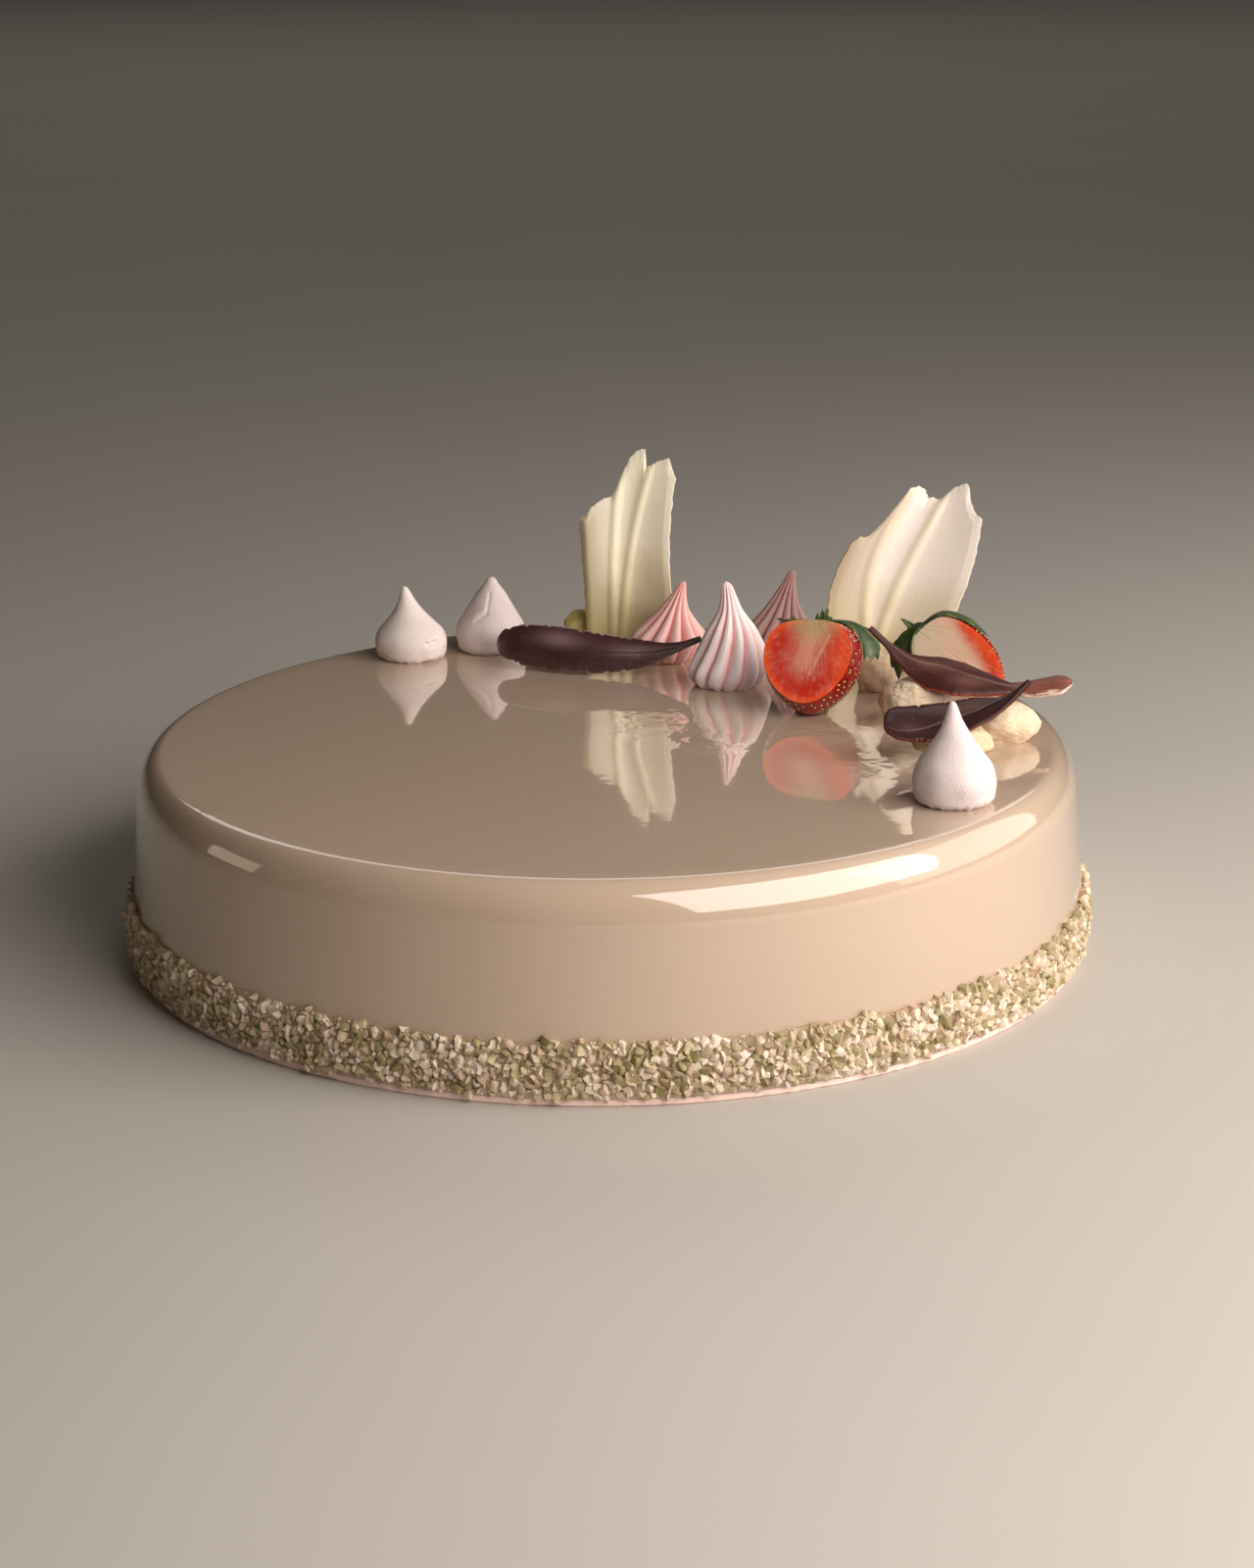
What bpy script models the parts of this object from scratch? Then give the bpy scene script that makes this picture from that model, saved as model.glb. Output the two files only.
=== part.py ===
"""A round glazed torte with a chopped nut border and a garnish of meringues, chocolate and strawberries.

Metres, +Z up. The origin is the middle of the flat underside. -Y is the front, +X the right.
"""

import math
import random

import bmesh
import bpy
from mathutils import Matrix, Vector, noise

MM = 0.001
GAP = 0.3 * MM

# Thin base that the torte stands on
BASE_RADIUS = 129.0 * MM
BASE_HEIGHT = 2.2 * MM
BASE_SIDES = 96

# Glazed body
TORTE_HEIGHT = 54.2 * MM
FOOT_RADIUS = 129.6 * MM
SHOULDER_RADIUS = 126.5 * MM
EDGE_ROUND = 8.0 * MM
EDGE_STEPS = 4
BODY_STEPS = 64
BODY_FOOT = BASE_HEIGHT + GAP
TABLE = TORTE_HEIGHT + GAP

# Border of chopped nuts round the foot: a lumpy ring, with the largest grains standing out of it
NUT_COLUMNS = 92
NUT_RADIUS = 129.9 * MM
NUT_DEPTH = 6.0 * MM
NUT_TOP = 17.0 * MM
NUT_TOP_SWING = 2.0 * MM
NUT_SWELL = 1.2 * MM
NUT_BUMP = 0.9 * MM
NUT_LUMP_SIZE = 3.1 * MM
NUT_SWING_SIZE = 4.7 * MM
NUT_ROWS = 4
GRAIN_COUNT = 78
GRAIN_SIZE = (3.0 * MM, 4.2 * MM)
GRAIN_RADIUS = 130.5 * MM
GRAIN_STRETCH = (0.8, 1.15)
GRAIN_WANDER = 0.35
GRAIN_SEED = 7
GOLDEN_SHARE = (math.sqrt(5.0) - 1.0) / 2.0

# Piped kisses: radius share over height share, from foot to tip
DROP_KISS = ((0.0, 0.80), (0.05, 0.94), (0.14, 0.99), (0.25, 1.0), (0.37, 0.91), (0.50, 0.68),
             (0.64, 0.44), (0.80, 0.24), (0.93, 0.13), (0.985, 0.07))
CONE_KISS = ((0.0, 0.80), (0.05, 0.94), (0.14, 0.99), (0.25, 1.0), (0.37, 0.94), (0.52, 0.77),
             (0.65, 0.60), (0.78, 0.42), (0.90, 0.22), (0.97, 0.12))
LOW_KISS = ((0.0, 0.82), (0.12, 0.97), (0.20, 0.99), (0.33, 0.83), (0.47, 0.59), (0.66, 0.35), (0.92, 0.12))
ROUND_KISS = ((0.0, 0.68), (0.12, 0.88), (0.27, 1.0), (0.35, 0.95), (0.47, 0.72), (0.64, 0.42), (0.92, 0.13))
TALL_KISS = ((0.0, 0.76), (0.09, 0.96), (0.18, 1.0), (0.35, 0.83), (0.54, 0.60), (0.64, 0.42), (0.74, 0.28),
             (0.90, 0.17))
KISS_RIDGES = 12
KISS_TWIST = 0.5
RIDGE_DEPTH = 0.13
SMOOTH_KISS_STEPS = 16
RIDGED_KISS_STEPS = 3 * KISS_RIDGES

# Kisses: name, middle, width, height, sideways lean of the tip, sideways bow, profile, ridged or not
KISSES = (
    ("meringue_left", (-57.3, 87.5), 21.3, 21.3, -1.7, 0.0, DROP_KISS, False),
    ("meringue_back", (-34.2, 95.1), 20.4, 22.2, 0.6, 0.0, CONE_KISS, False),
    ("meringue_front", (87.7, -61.5), 21.3, 26.3, -1.0, 0.0, DROP_KISS, False),
    ("pink_kiss_left", (18.1, 81.4), 22.0, 23.4, 4.8, 0.0, ROUND_KISS, True),
    ("pink_kiss_middle", (34.7, 52.9), 23.6, 30.2, -0.4, 1.4, TALL_KISS, True),
    ("pink_kiss_right", (51.4, 91.8), 21.0, 24.1, 4.1, 0.0, LOW_KISS, True),
)

# White chocolate shards: each stands on its foot line and fans out to a broken top edge.
# The edge and the ribs are given in shares of the width and of the full height.
SHARD_THICKNESS = 1.6 * MM
SHARD_ROWS = 6
SHARD_LIFT = 0.25
SHARDS = (
    dict(name="white_shard_left", height=57.8, lean=5.0, bow=3.5,
         foot=((-5.2, 99.5), (21.6, 97.5)), top=(-8.6, 22.2), sweep=(0.0, -2.8),
         edge=((0.0, 0.66), (0.07, 0.67), (0.12, 0.704), (0.23, 0.743), (0.36, 0.762), (0.40, 0.789), (0.45, 0.851),
               (0.525, 0.941), (0.585, 0.983), (0.64, 1.0), (0.68, 1.0), (0.70, 0.908), (0.80, 0.938),
               (0.91, 0.963), (0.96, 0.907), (1.0, 0.868)),
         ribs=((0.09, 0.04), (0.46, 0.27), (0.78, 0.36))),
    dict(name="white_shard_right", height=53.3, lean=8.0, bow=4.5,
         foot=((67.2, 67.0), (91.1, 63.5)), top=(85.2, 109.0), sweep=(-10.6, 4.0),
         edge=((0.0, 0.70), (0.03, 0.73), (0.08, 0.717), (0.13, 0.757), (0.155, 0.82), (0.18, 0.975), (0.28, 0.977),
               (0.38, 0.952), (0.45, 0.912), (0.50, 0.92), (0.57, 0.902), (0.67, 0.968), (0.79, 1.0),
               (0.83, 0.98), (0.88, 0.902), (0.93, 0.855), (1.0, 0.826)),
         ribs=((0.18, 0.36), (0.62, 0.42))),
)
RIB_RISE = 0.75
RIB_WIDTH = 0.05

# Dark chocolate feathers: path from quill tip to round end, direction across the vane at both ends.
# A vane is given as share of the half width over the share of the length.
FEATHER_THICKNESS = 1.3 * MM
FEATHER_ROWS = 14
FEATHER_COLUMNS = 4
EVEN_VANE = ((0.0, 0.10), (0.12, 0.15), (0.22, 0.30), (0.36, 0.68), (0.55, 0.93), (0.72, 1.0),
             (0.88, 0.90), (0.96, 0.62), (1.0, 0.22))
WAISTED_VANE = ((0.0, 0.09), (0.10, 0.14), (0.20, 0.46), (0.33, 0.95), (0.45, 1.0), (0.62, 0.70),
                (0.74, 0.34), (0.86, 0.62), (0.94, 0.66), (1.0, 0.28))
FEATHERS = (
    dict(name="dark_feather_left", vane=EVEN_VANE, width=13.2, cup=1.8,
         path=((27.5, 61.5, 65.6), (20.2, 62.0, 63.0), (10.8, 63.0, 61.2), (-0.5, 64.0, 61.0), (-11.8, 67.0, 61.5),
               (-21.3, 71.0, 61.8), (-30.6, 75.5, 61.5)),
         across=((0.0, 0.45, 0.89), (0.0, 0.45, 0.89))),
    dict(name="dark_feather_back", vane=WAISTED_VANE, width=13.4, cup=-1.4,
         path=((71.9, 14.0, 80.4), (82.0, 9.5, 72.3), (93.0, 5.5, 69.2), (102.3, 3.5, 67.4), (112.5, 2.8, 65.9),
               (125.8, 2.0, 67.9)),
         across=((0.10, 0.80, 0.60), (0.10, 0.95, 0.30))),
    dict(name="dark_feather_front", vane=EVEN_VANE, width=12.8, cup=-1.4,
         path=((112.4, -11.0, 71.9), (105.9, -15.0, 67.7), (96.7, -20.0, 65.9), (87.8, -24.0, 64.3),
               (78.9, -27.0, 64.6), (72.7, -28.0, 66.3)),
         across=((0.0, 0.85, 0.53), (0.10, 0.85, 0.53))),
)

# Strawberries cut open: cut face towards the front, tip down. The cut runs in front of the axis, at
# cut from it. Shoulders is how square the stem end is: 2 is round. Each leaf has a length, how far it
# curls out from the berry and up along the stem, and how far one of its sides is tilted out.
BERRY_SIDES = 20
BERRY_RINGS = 9
BERRY_DIMPLE = 1.8
BERRY_DIMPLE_WIDTH = 0.55
CALYX_GAP = 1.0
CALYX_VALLEY = 5.0
CALYX_CURL_LENGTH = 8.0
CALYX_THICKNESS = 0.8 * MM
CALYX_COLUMNS_PER_LEAF = 4
CALYX_ROWS = 4
BERRIES = (
    dict(name="strawberry_left", calyx="calyx_left", place=(57.0, 23.6), width=27.3, height=27.6, depth=25.0,
         turn=-24.0, lean=27.0, roll=-5.0, point=0.15, shoulders=2.4, cut=5.3, span=(-0.05, 1.11),
         leaves=((19.5, 0.5, 0.0, 2.0), (12.5, 3.0, 3.5, 2.0), (9.4, 3.0, 19.0, 0.0), (8.8, 3.0, 12.0, 0.0),
                 (8.8, 1.0, 6.0, 0.0))),
    dict(name="strawberry_right", calyx="calyx_right", place=(97.2, 22.6), width=21.0, height=31.2, depth=24.0,
         turn=-18.0, lean=2.0, roll=-42.0, point=-0.09, shoulders=2.3, cut=0.8, span=(-0.05, 1.12),
         leaves=((18.5, 0.3, 0.0, 0.0), (9.5, 0.8, 1.0, 0.0), (8.5, 1.0, 3.0, 0.0), (8.5, 3.0, 5.0, 0.0),
                 (7.9, -13.0, 32.0, -3.0), (15.0, 3.0, 0.0, -5.0))),
)

# Rough cream pieces: name, middle, widths along X and Y, height, fineness of the mesh
CHUNKS = (
    ("cream_piece_middle", (84.1, 9.0), (20.0, 16.6), 13.4, 3),
    ("cream_piece_right", (106.4, -7.2), (19.0, 12.0), 10.6, 3),
    ("cream_piece_front", (91.6, -19.5), (20.5, 13.0), 8.8, 3),
    ("cream_piece_shaded", (76.6, 45.6), (12.0, 12.0), 11.0, 2),
    ("cream_piece_back", (-6.4, 105.5), (12.0, 8.5), 9.5, 2),
)
CHUNK_LUMPS = 1.7
CHUNK_BUMP = 0.16
CHUNK_SUNK = 0.75

# Colours: red, green, blue, roughness
GLAZE = (0.62, 0.47, 0.35, 0.12)
BISCUIT = (0.72, 0.52, 0.42, 0.7)
MERINGUE = (0.86, 0.78, 0.76, 0.7)
PINK_MERINGUE = (0.78, 0.47, 0.50, 0.7)
WHITE_CHOCOLATE = (0.86, 0.80, 0.68, 0.4)
DARK_CHOCOLATE = (0.055, 0.018, 0.014, 0.3)
STRAWBERRY = (0.68, 0.06, 0.025, 0.35)
LEAF_GREEN = (0.06, 0.12, 0.03, 0.5)
CREAM = (0.80, 0.68, 0.50, 0.7)


def clear_scene():
    for obj in list(bpy.data.objects):
        bpy.data.objects.remove(obj, do_unlink=True)


def material(name, look):
    red, green, blue, roughness = look
    mat = bpy.data.materials.new(name)
    mat.use_nodes = True
    shader = mat.node_tree.nodes["Principled BSDF"]
    shader.inputs["Base Color"].default_value = (red, green, blue, 1.0)
    shader.inputs["Roughness"].default_value = roughness
    shader.inputs["Metallic"].default_value = 0.0
    return mat


def add_object(name, mesh, look, collection):
    obj = bpy.data.objects.new(name, mesh)
    collection.objects.link(obj)
    obj.data.materials.clear()
    obj.data.materials.append(material(name, look))
    for face in obj.data.polygons:
        face.use_smooth = True
    obj.data.set_sharp_from_angle(angle=math.radians(40))
    return obj


def baked_mesh(obj):
    """The object's mesh with its modifiers applied; the object itself is removed."""
    bpy.context.view_layer.update()
    depsgraph = bpy.context.evaluated_depsgraph_get()
    mesh = bpy.data.meshes.new_from_object(obj.evaluated_get(depsgraph))
    bpy.data.objects.remove(obj, do_unlink=True)
    return mesh


def turned_mesh(name, profile, steps):
    """A closed turned mesh from (radius, height) points that run from the top down."""
    outline = bpy.data.meshes.new(name)
    points = [(radius, 0.0, height) for radius, height in profile]
    edges = [(index, index + 1) for index in range(len(points) - 1)]
    outline.from_pydata(points, edges, [])
    obj = bpy.data.objects.new(name, outline)
    bpy.context.scene.collection.objects.link(obj)
    screw = obj.modifiers.new("turn", "SCREW")
    screw.steps = steps
    screw.render_steps = steps
    screw.use_merge_vertices = True
    screw.merge_threshold = 0.00001
    return baked_mesh(obj)


def interpolated(points, at):
    """Straight interpolation in a short list of (place, value) points."""
    for (start, low), (end, high) in zip(points, points[1:]):
        if at <= end:
            return low + (high - low) * max(0.0, at - start) / (end - start)
    return points[-1][1]


def curve_point(points, at):
    """A point of a smooth curve through a few points, at 0 to 1 along it."""
    spans = len(points) - 1
    index = min(int(at * spans), spans - 1)
    t = at * spans - index
    before = Vector(points[max(index - 1, 0)])
    start = Vector(points[index])
    end = Vector(points[index + 1])
    after = Vector(points[min(index + 2, spans)])
    return 0.5 * (2.0 * start + (end - before) * t
                  + (2.0 * before - 5.0 * start + 4.0 * end - after) * t ** 2
                  + (3.0 * start - before - 3.0 * end + after) * t ** 3)


def grid_mesh(name, columns, rows, place):
    """An open grid whose point in column i and row j goes to place(i / columns, j / rows)."""
    bm = bmesh.new()
    bmesh.ops.create_grid(bm, x_segments=columns, y_segments=rows, size=0.5)
    for vert in bm.verts:
        vert.co = place(vert.co.x + 0.5, vert.co.y + 0.5)
    bmesh.ops.triangulate(bm, faces=bm.faces)
    mesh = bpy.data.meshes.new(name)
    bm.to_mesh(mesh)
    bm.free()
    return mesh


def solid_sheet(name, mesh, thickness, look, collection):
    """A thin solid of even thickness on both sides of an open surface."""
    obj = add_object(name, mesh, look, collection)
    wall = obj.modifiers.new("thickness", "SOLIDIFY")
    wall.thickness = thickness
    wall.offset = 0.0
    wall.use_even_offset = False
    return obj


def make_base(collection):
    bpy.ops.mesh.primitive_cylinder_add(vertices=BASE_SIDES, radius=BASE_RADIUS, depth=BASE_HEIGHT,
                                        location=(0.0, 0.0, BASE_HEIGHT / 2))
    made = bpy.context.object
    mesh = made.data
    mesh.transform(Matrix.Translation((0.0, 0.0, BASE_HEIGHT / 2)))
    bpy.data.objects.remove(made, do_unlink=True)
    return add_object("base_layer", mesh, BISCUIT, collection)


def body_profile():
    points = [(0.0, TORTE_HEIGHT)]
    centre_radius = SHOULDER_RADIUS - EDGE_ROUND
    centre_height = TORTE_HEIGHT - EDGE_ROUND
    for step in range(EDGE_STEPS + 1):
        angle = math.pi / 2 * (1 - step / EDGE_STEPS)
        points.append((centre_radius + EDGE_ROUND * math.cos(angle), centre_height + EDGE_ROUND * math.sin(angle)))
    points.append((FOOT_RADIUS, BODY_FOOT))
    points.append((0.0, BODY_FOOT))
    return points


def nut_band_mesh():
    """A ring of rough nut border: its inner side lies inside the body, its outer side is lumpy."""
    top = NUT_TOP
    low = BODY_FOOT
    profile = [(NUT_RADIUS - NUT_DEPTH, top)]
    for row in range(NUT_ROWS + 1):
        share = row / NUT_ROWS
        swell = math.sin(math.pi * (0.2 + 0.6 * share))
        profile.append((NUT_RADIUS - NUT_SWELL * (1 - swell), top - (top - low) * share))
    profile.append((NUT_RADIUS - NUT_DEPTH, low))
    profile.append(profile[0])
    mesh = turned_mesh("nut_band", profile, NUT_COLUMNS)
    for vert in mesh.vertices:
        flat = Vector((vert.co.x, vert.co.y, 0.0))
        if flat.length < NUT_RADIUS - NUT_DEPTH + MM:
            continue
        lump = noise.noise(vert.co / NUT_LUMP_SIZE)
        swing = noise.noise(flat / NUT_SWING_SIZE)
        flat.normalize()
        rise = (vert.co.z - low) / (top - low)
        vert.co += flat * lump * NUT_BUMP
        vert.co.z += swing * NUT_TOP_SWING * rise
    return mesh


def keep_largest_body(mesh):
    """Drops what a union left loose or sealed inside, so that one closed body stays."""
    bm = bmesh.new()
    bm.from_mesh(mesh)
    waiting = set(bm.verts)
    bodies = []
    while waiting:
        front = [waiting.pop()]
        body = set(front)
        while front:
            for edge in front.pop().link_edges:
                for vert in edge.verts:
                    if vert not in body:
                        body.add(vert)
                        front.append(vert)
        waiting -= body
        bodies.append(body)
    largest = max(bodies, key=len)
    bmesh.ops.delete(bm, geom=[vert for vert in bm.verts if vert not in largest], context="VERTS")
    bm.to_mesh(mesh)
    bm.free()


def make_torte(collection, work):
    body = add_object("torte", turned_mesh("torte", body_profile(), BODY_STEPS), GLAZE, collection)
    pieces = bpy.data.collections.new("nut_border_pieces")
    work.children.link(pieces)
    band = bpy.data.objects.new("nut_band", nut_band_mesh())
    pieces.objects.link(band)
    draw = random.Random(GRAIN_SEED)
    for index in range(GRAIN_COUNT):
        angle = 2 * math.pi * (index + draw.uniform(-GRAIN_WANDER, GRAIN_WANDER)) / GRAIN_COUNT
        size = draw.uniform(*GRAIN_SIZE)
        share = (index * GOLDEN_SHARE) % 1.0
        height = BODY_FOOT + 0.6 * size + (NUT_TOP - BODY_FOOT - 0.6 * size) * share
        radius = GRAIN_RADIUS - NUT_SWELL * abs(2 * share - 1)
        bm = bmesh.new()
        bmesh.ops.create_icosphere(bm, subdivisions=1, radius=size / 2)
        stretch = (draw.uniform(*GRAIN_STRETCH), draw.uniform(*GRAIN_STRETCH), draw.uniform(*GRAIN_STRETCH))
        turn = Matrix.Rotation(draw.uniform(0, math.pi), 4, (draw.random(), draw.random(), 1.0))
        bmesh.ops.scale(bm, verts=bm.verts, vec=stretch)
        place = Matrix.Translation((radius * math.cos(angle), radius * math.sin(angle), height))
        bmesh.ops.transform(bm, matrix=place @ turn, verts=bm.verts)
        mesh = bpy.data.meshes.new("grain")
        bm.to_mesh(mesh)
        bm.free()
        pieces.objects.link(bpy.data.objects.new("grain", mesh))
    union = body.modifiers.new("fuse", "BOOLEAN")
    union.operation = "UNION"
    union.operand_type = "COLLECTION"
    union.collection = pieces
    union.solver = "EXACT"
    fused = baked_mesh(body)
    keep_largest_body(fused)
    for obj in list(pieces.objects):
        bpy.data.objects.remove(obj, do_unlink=True)
    bpy.data.collections.remove(pieces)
    return add_object("torte", fused, GLAZE, collection)


def make_kiss(name, middle, width, height, lean, bow, shape, ridged, collection):
    """A piped kiss: a turned drop whose tip leans, with star ridges where it was piped so."""
    steps = RIDGED_KISS_STEPS if ridged else SMOOTH_KISS_STEPS
    profile = [(0.0, height * MM)]
    profile += [(share * width * MM / 2, level * height * MM) for level, share in reversed(shape)]
    profile.append((0.0, 0.0))
    mesh = turned_mesh(name, profile, steps)
    for vert in mesh.vertices:
        level = vert.co.z / (height * MM)
        if ridged:
            angle = math.atan2(vert.co.y, vert.co.x)
            groove = 0.5 - 0.5 * math.cos(KISS_RIDGES * angle)
            keep = 1.0 - RIDGE_DEPTH * groove
            vert.co.x *= keep
            vert.co.y *= keep
            turn = Matrix.Rotation(KISS_TWIST * level, 4, "Z")
            vert.co = turn @ vert.co
        vert.co.x += (lean * level ** 2 + bow * math.sin(math.pi * level)) * MM
    mesh.transform(Matrix.Translation((middle[0] * MM, middle[1] * MM, TABLE)))
    return add_object(name, mesh, PINK_MERINGUE if ridged else MERINGUE, collection)


def make_shard(spec, collection):
    """A thin comb-drawn shard of white chocolate with rounded ribs that run up from the foot."""
    (foot_x0, foot_y0), (foot_x1, foot_y1) = spec["foot"]
    (top_x0, top_x1), (sweep_0, sweep_1) = spec["top"], spec["sweep"]
    edge = spec["edge"]
    columns = len(edge) - 1

    def place(column, v):
        u, reach = edge[round(column * columns)]
        rise = reach * v
        x = (foot_x0 + (foot_x1 - foot_x0) * u) * (1 - rise) + (top_x0 + (top_x1 - top_x0) * u) * rise
        x += (sweep_0 + (sweep_1 - sweep_0) * u) * math.sin(math.pi * rise)
        ribs = sum(math.exp(-((u - low - (high - low) * rise) / RIB_WIDTH) ** 2) for high, low in spec["ribs"])
        y = foot_y0 + (foot_y1 - foot_y0) * u + spec["lean"] * rise ** 2
        y += spec["bow"] * (math.sin(math.pi * u) - 0.5) - RIB_RISE * ribs
        z = TABLE / MM + SHARD_LIFT + spec["height"] * rise
        return Vector((x, y, z)) * MM

    mesh = grid_mesh(spec["name"], columns, SHARD_ROWS, place)
    return solid_sheet(spec["name"], mesh, SHARD_THICKNESS, WHITE_CHOCOLATE, collection)


def make_feather(spec, collection):
    """A thin chocolate feather: a quill that widens to a cupped vane with a round end."""
    across_start = Vector(spec["across"][0]).normalized()
    across_end = Vector(spec["across"][1]).normalized()

    def place(u, v):
        side = 2 * u - 1
        middle = curve_point(spec["path"], v)
        ahead = curve_point(spec["path"], min(v + 0.02, 1.0)) - curve_point(spec["path"], max(v - 0.02, 0.0))
        across = across_start.lerp(across_end, v)
        across = (across - ahead.normalized() * across.dot(ahead.normalized())).normalized()
        out = ahead.cross(across).normalized()
        share = interpolated(spec["vane"], v)
        half = spec["width"] / 2 * share
        return (middle + across * half * side + out * spec["cup"] * share * (side ** 2 - 0.5)) * MM

    mesh = grid_mesh(spec["name"], FEATHER_COLUMNS, FEATHER_ROWS, place)
    return solid_sheet(spec["name"], mesh, FEATHER_THICKNESS, DARK_CHOCOLATE, collection)


def berry_point(spec, turn, drop, grow=0.0):
    """A point of the berry's skin: turn round its axis, drop from the stem (0) to the tip (pi)."""
    level = math.cos(drop)
    square = spec["shoulders"] if level > 0 else 2.0
    taper = 1.0 + spec["point"] * level - 0.10 * level ** 2
    dimple = -BERRY_DIMPLE * math.exp(-(drop / BERRY_DIMPLE_WIDTH) ** 2)
    radius = max(0.0, 1.0 - abs(level) ** square) ** (1.0 / square) * taper
    return Vector(((spec["width"] / 2 + grow) * radius * math.cos(turn),
                   (spec["depth"] / 2 + grow) * radius * math.sin(turn),
                   (spec["height"] / 2 + grow) * level + dimple))


def berry_place(spec):
    """Turn, lean and roll of a berry, set down so that its lowest point is on the torte."""
    turn = (Matrix.Rotation(math.radians(spec["turn"]), 4, "Z")
            @ Matrix.Rotation(math.radians(-spec["lean"]), 4, "X")
            @ Matrix.Rotation(math.radians(spec["roll"]), 4, "Y"))
    samples = [berry_point(spec, math.pi * side / 36, math.pi * ring / 60) for side in range(72) for ring in range(61)]
    lowest = min((turn @ Vector((point.x, max(point.y, -spec["cut"]), point.z))).z for point in samples)
    lift = TABLE / MM - lowest
    return Matrix.Scale(MM, 4) @ Matrix.Translation((*spec["place"], lift)) @ turn


def make_berry(spec, collection):
    """A strawberry cut open: a ball drawn out to a blunt tip, with a flat cut in front of its axis."""
    bm = bmesh.new()
    bmesh.ops.create_uvsphere(bm, u_segments=BERRY_SIDES, v_segments=BERRY_RINGS, radius=1.0)
    for vert in bm.verts:
        drop = math.acos(max(-1.0, min(1.0, vert.co.z)))
        turn = math.atan2(vert.co.y, vert.co.x)
        vert.co = berry_point(spec, turn, drop)
    slice_at = Vector((0.0, -spec["cut"], 0.0))
    everything = bm.verts[:] + bm.edges[:] + bm.faces[:]
    cut = bmesh.ops.bisect_plane(bm, geom=everything, dist=1e-5, plane_co=slice_at, plane_no=(0.0, -1.0, 0.0),
                                 clear_outer=True)
    rim = [item for item in cut["geom_cut"] if isinstance(item, bmesh.types.BMEdge)]
    bmesh.ops.edgeloop_fill(bm, edges=rim)
    bmesh.ops.triangulate(bm, faces=bm.faces)
    bmesh.ops.recalc_face_normals(bm, faces=bm.faces)
    mesh = bpy.data.meshes.new(spec["name"])
    bm.to_mesh(mesh)
    bm.free()
    mesh.transform(berry_place(spec))
    return add_object(spec["name"], mesh, STRAWBERRY, collection)


def make_calyx(spec, collection):
    """The green star over a berry's shoulder: leaves that part at their tips and curl away."""
    leaves = spec["leaves"]
    columns = CALYX_COLUMNS_PER_LEAF * len(leaves)
    size = (spec["width"] + spec["height"]) / 4
    place_on_torte = berry_place(spec)

    def place(u, v):
        along = u * len(leaves)
        leaf = min(int(along), len(leaves) - 1)
        across = 2 * (along - leaf) - 1
        length, curl_out, curl_up, tilt = leaves[leaf]
        reach = CALYX_VALLEY + (length - CALYX_VALLEY) * (1 - abs(across)) ** 0.8
        drop = 0.05 + reach * v / size
        first, last = spec["span"]
        turn = math.pi * (first + (last - first) * u)
        curl = (max(0.0, reach * v - CALYX_VALLEY) / CALYX_CURL_LENGTH) ** 1.5
        grow = CALYX_GAP + CALYX_THICKNESS / MM / 2 + curl_out * curl
        grow += (abs(tilt) + tilt * across) / 2 * (1 - across ** 2) * v
        return place_on_torte @ (berry_point(spec, turn, drop, grow) + Vector((0.0, 0.0, curl_up * curl)))

    mesh = grid_mesh(spec["calyx"], columns, CALYX_ROWS, place)
    return solid_sheet(spec["calyx"], mesh, CALYX_THICKNESS, LEAF_GREEN, collection)


def make_chunk(name, middle, widths, height, detail, collection):
    """A rough piece broken from a slab, flat where it lies."""
    bm = bmesh.new()
    bmesh.ops.create_icosphere(bm, subdivisions=detail, radius=1.0)
    for vert in bm.verts:
        lump = noise.noise(vert.co * CHUNK_LUMPS + Vector((*middle, 0.0)))
        vert.co *= 1.0 + CHUNK_BUMP * lump
        tall = height / (1 + CHUNK_SUNK)
        vert.co = Vector((vert.co.x * widths[0] / 2, vert.co.y * widths[1] / 2, vert.co.z * tall))
    floor = Vector((0.0, 0.0, -CHUNK_SUNK * height / (1 + CHUNK_SUNK)))
    everything = bm.verts[:] + bm.edges[:] + bm.faces[:]
    cut = bmesh.ops.bisect_plane(bm, geom=everything, dist=1e-5, plane_co=floor, plane_no=(0.0, 0.0, -1.0),
                                 clear_outer=True)
    rim = [item for item in cut["geom_cut"] if isinstance(item, bmesh.types.BMEdge)]
    bmesh.ops.edgeloop_fill(bm, edges=rim)
    bmesh.ops.recalc_face_normals(bm, faces=bm.faces)
    mesh = bpy.data.meshes.new(name)
    bm.to_mesh(mesh)
    bm.free()
    place = Matrix.Translation((middle[0] * MM, middle[1] * MM, TABLE)) @ Matrix.Scale(MM, 4)
    mesh.transform(place @ Matrix.Translation(-floor))
    return add_object(name, mesh, CREAM, collection)


clear_scene()
parts = bpy.data.collections.new("torte_parts")
bpy.context.scene.collection.children.link(parts)
make_base(parts)
make_torte(parts, bpy.context.scene.collection)
for kiss in KISSES:
    make_kiss(*kiss, parts)
for shard in SHARDS:
    make_shard(shard, parts)
for feather in FEATHERS:
    make_feather(feather, parts)
for berry in BERRIES:
    make_berry(berry, parts)
    make_calyx(berry, parts)
for chunk in CHUNKS:
    make_chunk(*chunk, parts)
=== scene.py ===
import math
import random

import bmesh
import bpy
from mathutils import Matrix, Vector, kdtree, noise


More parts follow.
